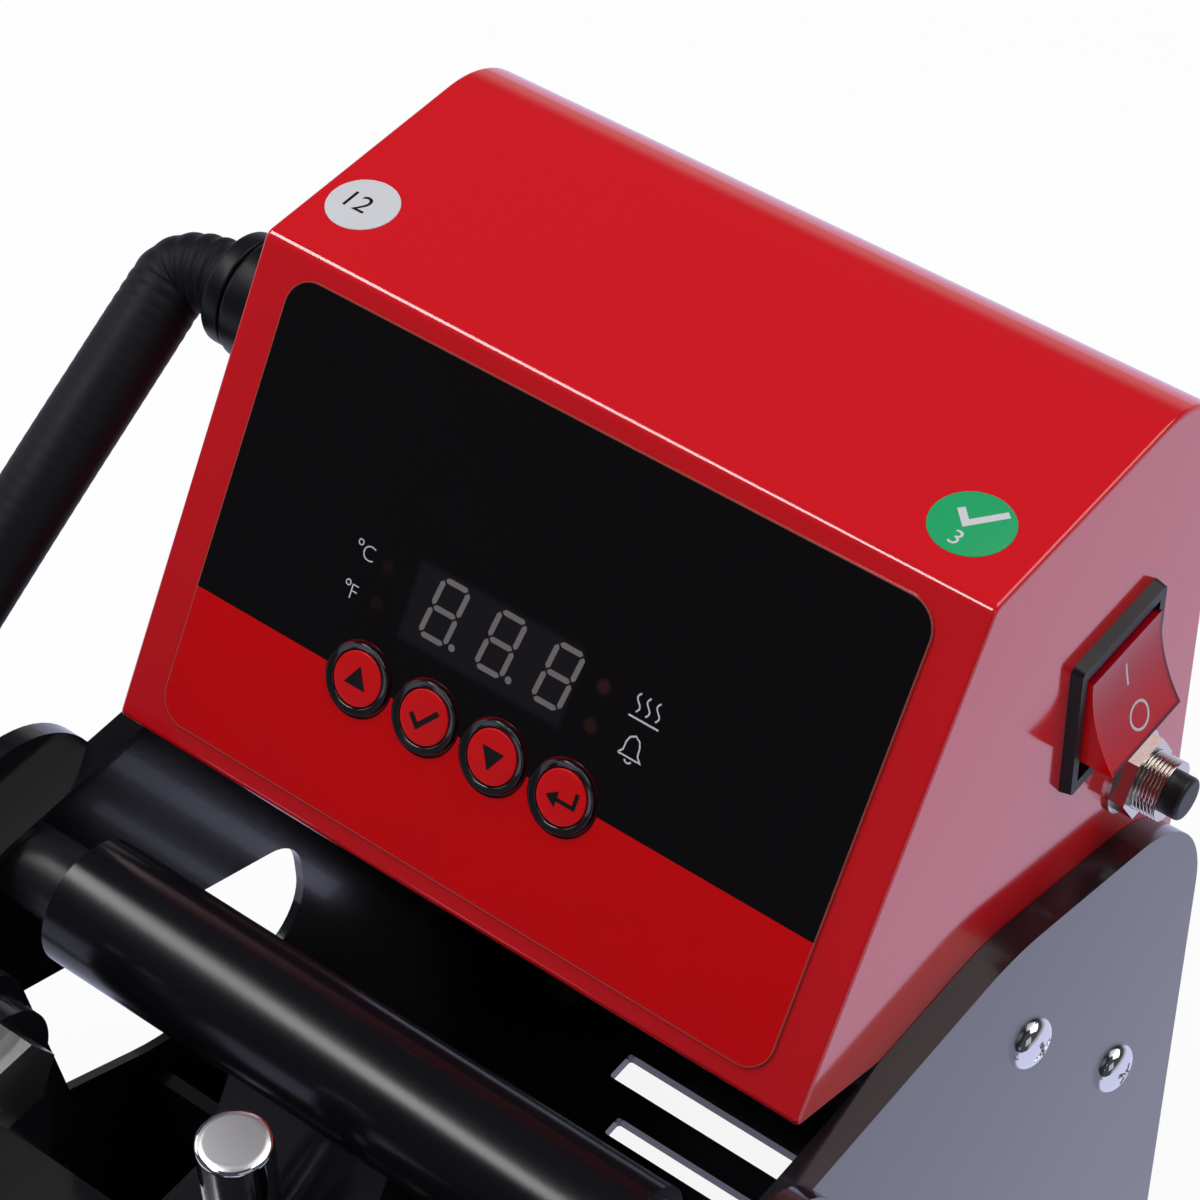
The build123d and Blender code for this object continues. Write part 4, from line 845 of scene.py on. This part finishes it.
def return_arrow(x, y, size):
    """An arrow that comes down and turns left, with its head."""
    line = np.array([(1, 0.8), (1, -0.25), (-0.5, -0.25)]) * size + (x, y)
    head = np.array([(-1.25, -0.25), (-0.35, -0.85), (-0.35, 0.35)]) * size + (x, y)
    return joined([stroke(line, 0.3 * size), (head, [[0, 1, 2]])])


signs = {"up": lambda x, y: triangle(x, y, 2.35), "ok": lambda x, y: tick(x, y, 2.6),
         "down": lambda x, y: triangle(x, y, -2.35),
         "enter": lambda x, y: return_arrow(x + 0.3, y, 2.6)}
for name, (x, y) in zip(button_names, button_places):
    body = "key_" + name
    cap_piece = new_piece("cap_" + name, *cap(x, y), red_cap, body, smooth=60)
    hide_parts("button_" + name)
    sign = printed("sign_" + name, [signs[name](x, y)], 1.27, ink_black, body)
print("buttons:", button_names)

# %% [markdown]
# ## The power switch
#
# The rocker is clear red plastic with a lamp inside, hollowed across so that a finger finds it, and
# its lower end stands out. Its I and O are printed, so they follow the hollow face: a mark is
# drawn flat, and then each point is lifted onto the face's arc. The rocker's own solid has the
# right shape and keeps it.

# %% The rocker's marks
rocker_pivot = np.array([75.3, 185.3, 217.5])
rocker_tilt = radians(16)
rocker_out = np.array([cos(rocker_tilt), 0, sin(rocker_tilt)])
rocker_up = np.array([-sin(rocker_tilt), 0, cos(rocker_tilt)])
rocker_half, hollow_depth, rocker_face = 10.25, 1.4, 5.1
hollow_radius = (rocker_half ** 2 + hollow_depth ** 2) / (2 * hollow_depth)


def on_rocker(x, y, height):
    """A place on the hollow face, out from the pivot by face + R - sqrt(R^2 - y^2) + height."""
    out = rocker_face + hollow_radius - np.sqrt(hollow_radius ** 2 - y ** 2) + height
    return (rocker_pivot + x[:, None] * np.array([0, 1.0, 0]) + y[:, None] * rocker_up
            + out[:, None] * rocker_out)


on_mark = stroke(np.stack([np.full(12, -0.4), np.linspace(1.9, 6.8, 12)], axis=1), 0.55)
off_mark = stroke(ring(0.5, -5.4, 2.55, 64), 0.5)
switch_marks = printed("switch_marks", [on_mark, off_mark], 0.03, print_white, "power_rocker",
                       place=on_rocker)
print("switch marks", len(switch_marks.data.vertices), "points")

# %% [markdown]
# Clear plastic is never one colour. Seen straight through its face the rocker glows where light
# gets in from behind, and its thick moulded edge looks nearly black, because there the eye looks
# along the wall. That light and shade is painted into the base colour. Three masks in the rocker's
# own directions place it: painted shade on the back and lower edges, a painted glow on the front
# end wall, which is lit through, and a painted glow from below upwards.

# %% The rocker's finish, with its painted light and shade
clear_red, t, shader = principled("lit_red_plastic")
shader.inputs["Specular IOR Level"].default_value = 0.3
place = t.nodes.new("ShaderNodeTexCoord").outputs["Object"]


def from_pivot(tree, direction):
    """How far a point is from the rocker's pivot along a direction, in metres."""
    shifted = node_of(tree, "ShaderNodeVectorMath", place, tuple(rocker_pivot * mm),
                      operation="SUBTRACT").outputs[0]
    dot = node_of(tree, "ShaderNodeVectorMath", shifted, direction, operation="DOT_PRODUCT")
    return dot.outputs["Value"]


backwards = from_pivot(t, (0, 1, 0))
upwards = from_pivot(t, tuple(rocker_up))
rim = box_distance(t, backwards, upwards, (-2.0, 2.0), (12.9, 12.25), 0.6)
# Painted shade: the back and lower edges are darkened in the base colour.
painted_dark_rim = soft_step(t, rim, -0.0011, -0.0003)
# Painted light: the front end wall is painted bright red, as if lit through.
painted_front_glow = soft_step(t, maths(t, "MULTIPLY", backwards, -1.0), 0.0106, 0.0108)
# Painted glow: the face is painted a lighter red low down and a darker red towards the top.
painted_glow_from_below = soft_step(t, upwards, -0.012, 0.009)
mottle = node_of(t, "ShaderNodeTexNoise", place, Scale=120.0, Detail=2.0).outputs[0]
face_red = blend_colour(t, painted_glow_from_below, (0.50, 0.004, 0.010), (0.36, 0.004, 0.016))
face_red = blend_colour(t, maths(t, "MULTIPLY", mottle, 0.5), face_red, (0.62, 0.004, 0.010))
# Painted shade: the edge mask darkens the face's red towards near black.
with_painted_edge = blend_colour(t, maths(t, "MULTIPLY", painted_dark_rim, 0.8), face_red, (0.05, 0.002, 0.006))
lit = blend_colour(t, painted_front_glow, with_painted_edge, (0.82, 0.004, 0.006))
t.links.new(lit, shader.inputs["Base Color"])
rough = node_of(t, "ShaderNodeMapRange", mottle, To_Min=0.12, To_Max=0.20)
t.links.new(rough.outputs[0], shader.inputs["Roughness"])
paint("rocker", clear_red)
print("rocker lit through its front wall")

# %% [markdown]
# ## The circuit breaker
#
# The breaker's neck is threaded, and light runs across it in rings. A thread is a turned
# profile whose groove moves along by one pitch for each turn. Here the grid has one row for each
# small step along the neck, and the radius at angle t and distance s is a rounded wave of
# s / pitch - t / 2 pi, which is the same thing said the other way round.

# %% Threads
def threaded(origin, axis, length, crest, depth, pitch, steps=72, fade=0.8):
    """A threaded rod: radius crest - depth w(s / pitch - t / 2 pi), where the wave w is 0 at a
    crest and 1 at a root, and fades out near both ends."""
    s = np.linspace(0, length, int(length / pitch * 12) + 1)[:, None]
    t = np.linspace(0, 2 * pi, steps, endpoint=False)[None, :]
    phase = (s / pitch - t / (2 * pi)) % 1.0
    groove = np.clip(1.15 - np.abs(phase - 0.5) * 3.0, 0, 1)
    groove = groove * np.clip(np.minimum(s, length - s) / fade, 0, 1)
    r = crest - depth * groove
    points = round_about(origin, axis, s, r, t)
    rows, columns = r.shape
    start = np.array(origin, dtype=float)[None, :]
    end = start + length * np.array(Vector(axis).normalized())[None, :]
    points = np.concatenate([points.reshape(-1, 3), start, end])
    faces = grid_faces(rows, columns, wrap_columns=True).tolist()
    last = rows * columns
    rim = last - columns
    faces += [[last, (i + 1) % columns, i] for i in range(columns)]
    faces += [[last + 1, rim + i, rim + (i + 1) % columns] for i in range(columns)]
    return points, faces


def block(low, high):
    """A plain hidden block between two corners."""
    x, y, z = zip(low, high)
    points = [(a, b, c) for a in x for b in y for c in z]
    return np.array(points), [[0, 1, 3, 2], [4, 6, 7, 5], [0, 4, 5, 1], [2, 3, 7, 6],
                              [0, 2, 6, 4], [1, 5, 7, 3]]


neck = threaded((74.4, 197.5, 184.1), (1, 0, 0), length=10.1, crest=5.98, depth=0.5, pitch=0.75,
                fade=0.5)
behind_wall = block((50.5, 190.0, 174.1), (74.45, 205.0, 194.1))
neck_piece = new_piece("breaker_neck", *joined([neck, behind_wall]), nickel, "frame", smooth=50)
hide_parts("breaker_body")
print("neck", len(neck_piece.data.polygons), "faces")

# %% [markdown]
# ## Screw heads
#
# The plates are held by pan-head screws with a cross recess, and the carrier by smaller ones. A
# head is a height over a disc: a dome that falls off towards the rim, less a deep cross with sloped
# walls. The disc's grid is polar, so the rim is round however the cross cuts it.

# %% Cross-recess heads
def pan_head(seat, axis, radius, height, turn=0.0):
    """Height over a disc: h (1 - (r / R)^2.6)^0.5 for the dome, less the cross.

    The cross is 1 where the smaller of |u| and |v| is under the arm's half width and the larger is
    under its reach, with soft edges, and it gets shallower outwards."""
    near_rim = 1 - 0.07 * np.linspace(1, 0, 14)[1:] ** 2
    rho = np.concatenate([np.linspace(0, 0.93, 44), near_rim])[:, None]
    t = np.linspace(0, 2 * pi, 128, endpoint=False)[None, :]
    u, v = rho * np.cos(t + turn), rho * np.sin(t + turn)
    small, large = np.minimum(abs(u), abs(v)), np.maximum(abs(u), abs(v))
    arm = np.clip((0.105 - small) / 0.035, 0, 1) * np.clip((0.50 - large) / 0.08, 0, 1)
    dome = height * (1 - rho ** 2.6).clip(0) ** 0.5
    tall = dome - arm * height * 0.6 * (1 - 0.8 * large)
    points = round_about(seat, axis, tall, rho * radius, t)
    rows, columns = tall.shape
    faces = grid_faces(rows, columns, wrap_columns=True).tolist()
    points = np.concatenate([points.reshape(-1, 3), np.array(seat)[None, :]])
    rim = (rows - 1) * columns
    faces += [[rows * columns, rim + i, rim + (i + 1) % columns] for i in range(columns)]
    return points, faces


def shank(seat, axis, radius, length):
    """The plain part of a screw behind its head."""
    return turned([(0, 0), (0, radius), (-length, radius), (-length, 0)], seat, axis, steps=32)


plate_face, nut_face, head_radius, head_height = 81.7, 74.5, 5.3, 2.9
small_head_radius, small_head_height = 4.5, 2.6
front_screw, rear_screw = (159.8, 147.8), (194.2, 102.3)
plate_heads = []
for sign in (1, -1):
    axis = (sign, 0, 0)
    for count, place in enumerate((front_screw, rear_screw)):
        seat = (sign * plate_face, *place)
        head = pan_head(seat, axis, head_radius, head_height, 0.5 + 0.9 * count)
        plate_heads += [head, shank(seat, axis, radius=3.0, length=16.0)]
    nut_end = (sign * nut_face, *front_screw)
    hexagon = turned([(0, 3.05), (0, 5.8), (-5, 5.8), (-5, 3.05)], nut_end, axis, steps=6)
    plate_heads.append(hexagon)
screws = new_piece("pan_head_screws", *joined(plate_heads), chrome, "frame", smooth=40)
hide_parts("plate_screws")
carrier_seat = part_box("carrier_screws")[0][2] / mm
carrier_heads = []
for x in (-20, 20):
    for y in (-5.8, -61.8):
        carrier_heads.append(pan_head((x, y, carrier_seat), (0, 0, 1), small_head_radius,
                                      small_head_height, 0.3 + x * y))
top_screws = new_piece("carrier_heads", *joined(carrier_heads), chrome, "heated_platen", smooth=40)
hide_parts("carrier_screws")
print("heads, shanks and nuts:", len(plate_heads) + len(carrier_heads))

# %% [markdown]
# ## The guide post and the grip
#
# The chrome post's end isn't quite flat: a very low dome in a duller chrome lets the reflections
# sweep over it instead of filling it with one tone. The foam grip was pushed onto its rod, and foam
# pushed along a rod bulges a little and keeps soft ends. Both are turned profiles.

# %% The post and the grip
post = rounded([(0.0, 0.0), (0.0, 6.75), (49.4, 6.75), (49.9, 5.6), (50.0, 0.0)], 1.4, steps=9)
post_piece = new_piece("chrome_post", *turned(post, (0, 40.2, 134.0), (0, 0, 1), steps=128), chrome,
                       "heated_platen", smooth=60)
post_piece.data.materials.append(brushed)
on_top_face = [int(face.center.z > 183.7 * mm) for face in post_piece.data.polygons]
post_piece.data.polygons.foreach_set("material_index", on_top_face)
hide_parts("guide_post")
handle_lean = radians(172)
handle_direction = (0, cos(handle_lean), sin(handle_lean))
grip_start, grip_end = 154, 267
along_grip = np.linspace(grip_start, grip_end, 90)
along_share = (along_grip - grip_start) / (grip_end - grip_start)
bulge = 15.1 + 0.35 * np.sin(pi * along_share) + 0.06 * np.cos(2 * pi * along_grip / 3.2)
sleeve = np.stack([along_grip, bulge], axis=1)
rod_end = [(153, 7.05), (150.2, 7.05), (150.2, 15.0), sleeve[0]]
free_end = [sleeve[-1], (271.8, 15.0), (271.9, 3.0), (271.9, 0.0)]
grip = np.concatenate([rounded(rod_end, 3.0, steps=7), sleeve, rounded(free_end, 4.5, steps=9)])
grip_shape = turned(grip, (103.5, 51.35, 73.505), handle_direction, steps=96)
grip_piece = new_piece("foam_grip", *grip_shape, soft_black, "lever", smooth=60)
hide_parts("handle_grip")
print("post", len(post), "rings, grip", len(grip), "rings")

# %% [markdown]
# ## Stickers
#
# Two round paper labels lie on the top of the box. They carry nothing but plain numbers and a tick.
# A label is a very thin flat disc, because paper stuck on paint stands a little proud all round,
# and its shadow line is what tells the eye that it isn't paint.

# %% Labels
box_top_z, label_print_height = 270.3, 0.14


def on_top(x, y, height):
    """A place on the box's top, lifted by a height."""
    return np.stack([x, y, np.full_like(x, box_top_z + height)], axis=1)


def label(x, y, radius):
    """A thin round label: a turned profile 0.12 mm high."""
    profile = [(0.0, radius), (0.10, radius - 0.02), (0.12, radius - 0.15), (0.12, 0.0)]
    return turned(profile, (x, y, box_top_z), (0, 0, 1), steps=72)


white_label = new_piece("white_label", *label(-66.5, 161.0, 6.7), label_paper, "frame")
green_label = new_piece("green_label", *label(62.2, 159.0, 7.3), label_green, "frame")
count_mark = moved(lettering("plain_number", "12", 6.0), -69.6, 159.0)
white_mark = printed("white_label_number", [count_mark], label_print_height, ink_black, "frame",
                     place=on_top)
tick_mark = tick(62.4, 161.2, 3.6)
second = moved(lettering("plain_digit", "3", 4.6), 61.0, 153.4)
green_mark = printed("green_label_marks", [tick_mark, second], label_print_height, print_white,
                     "frame", place=on_top)
print("labels laid")
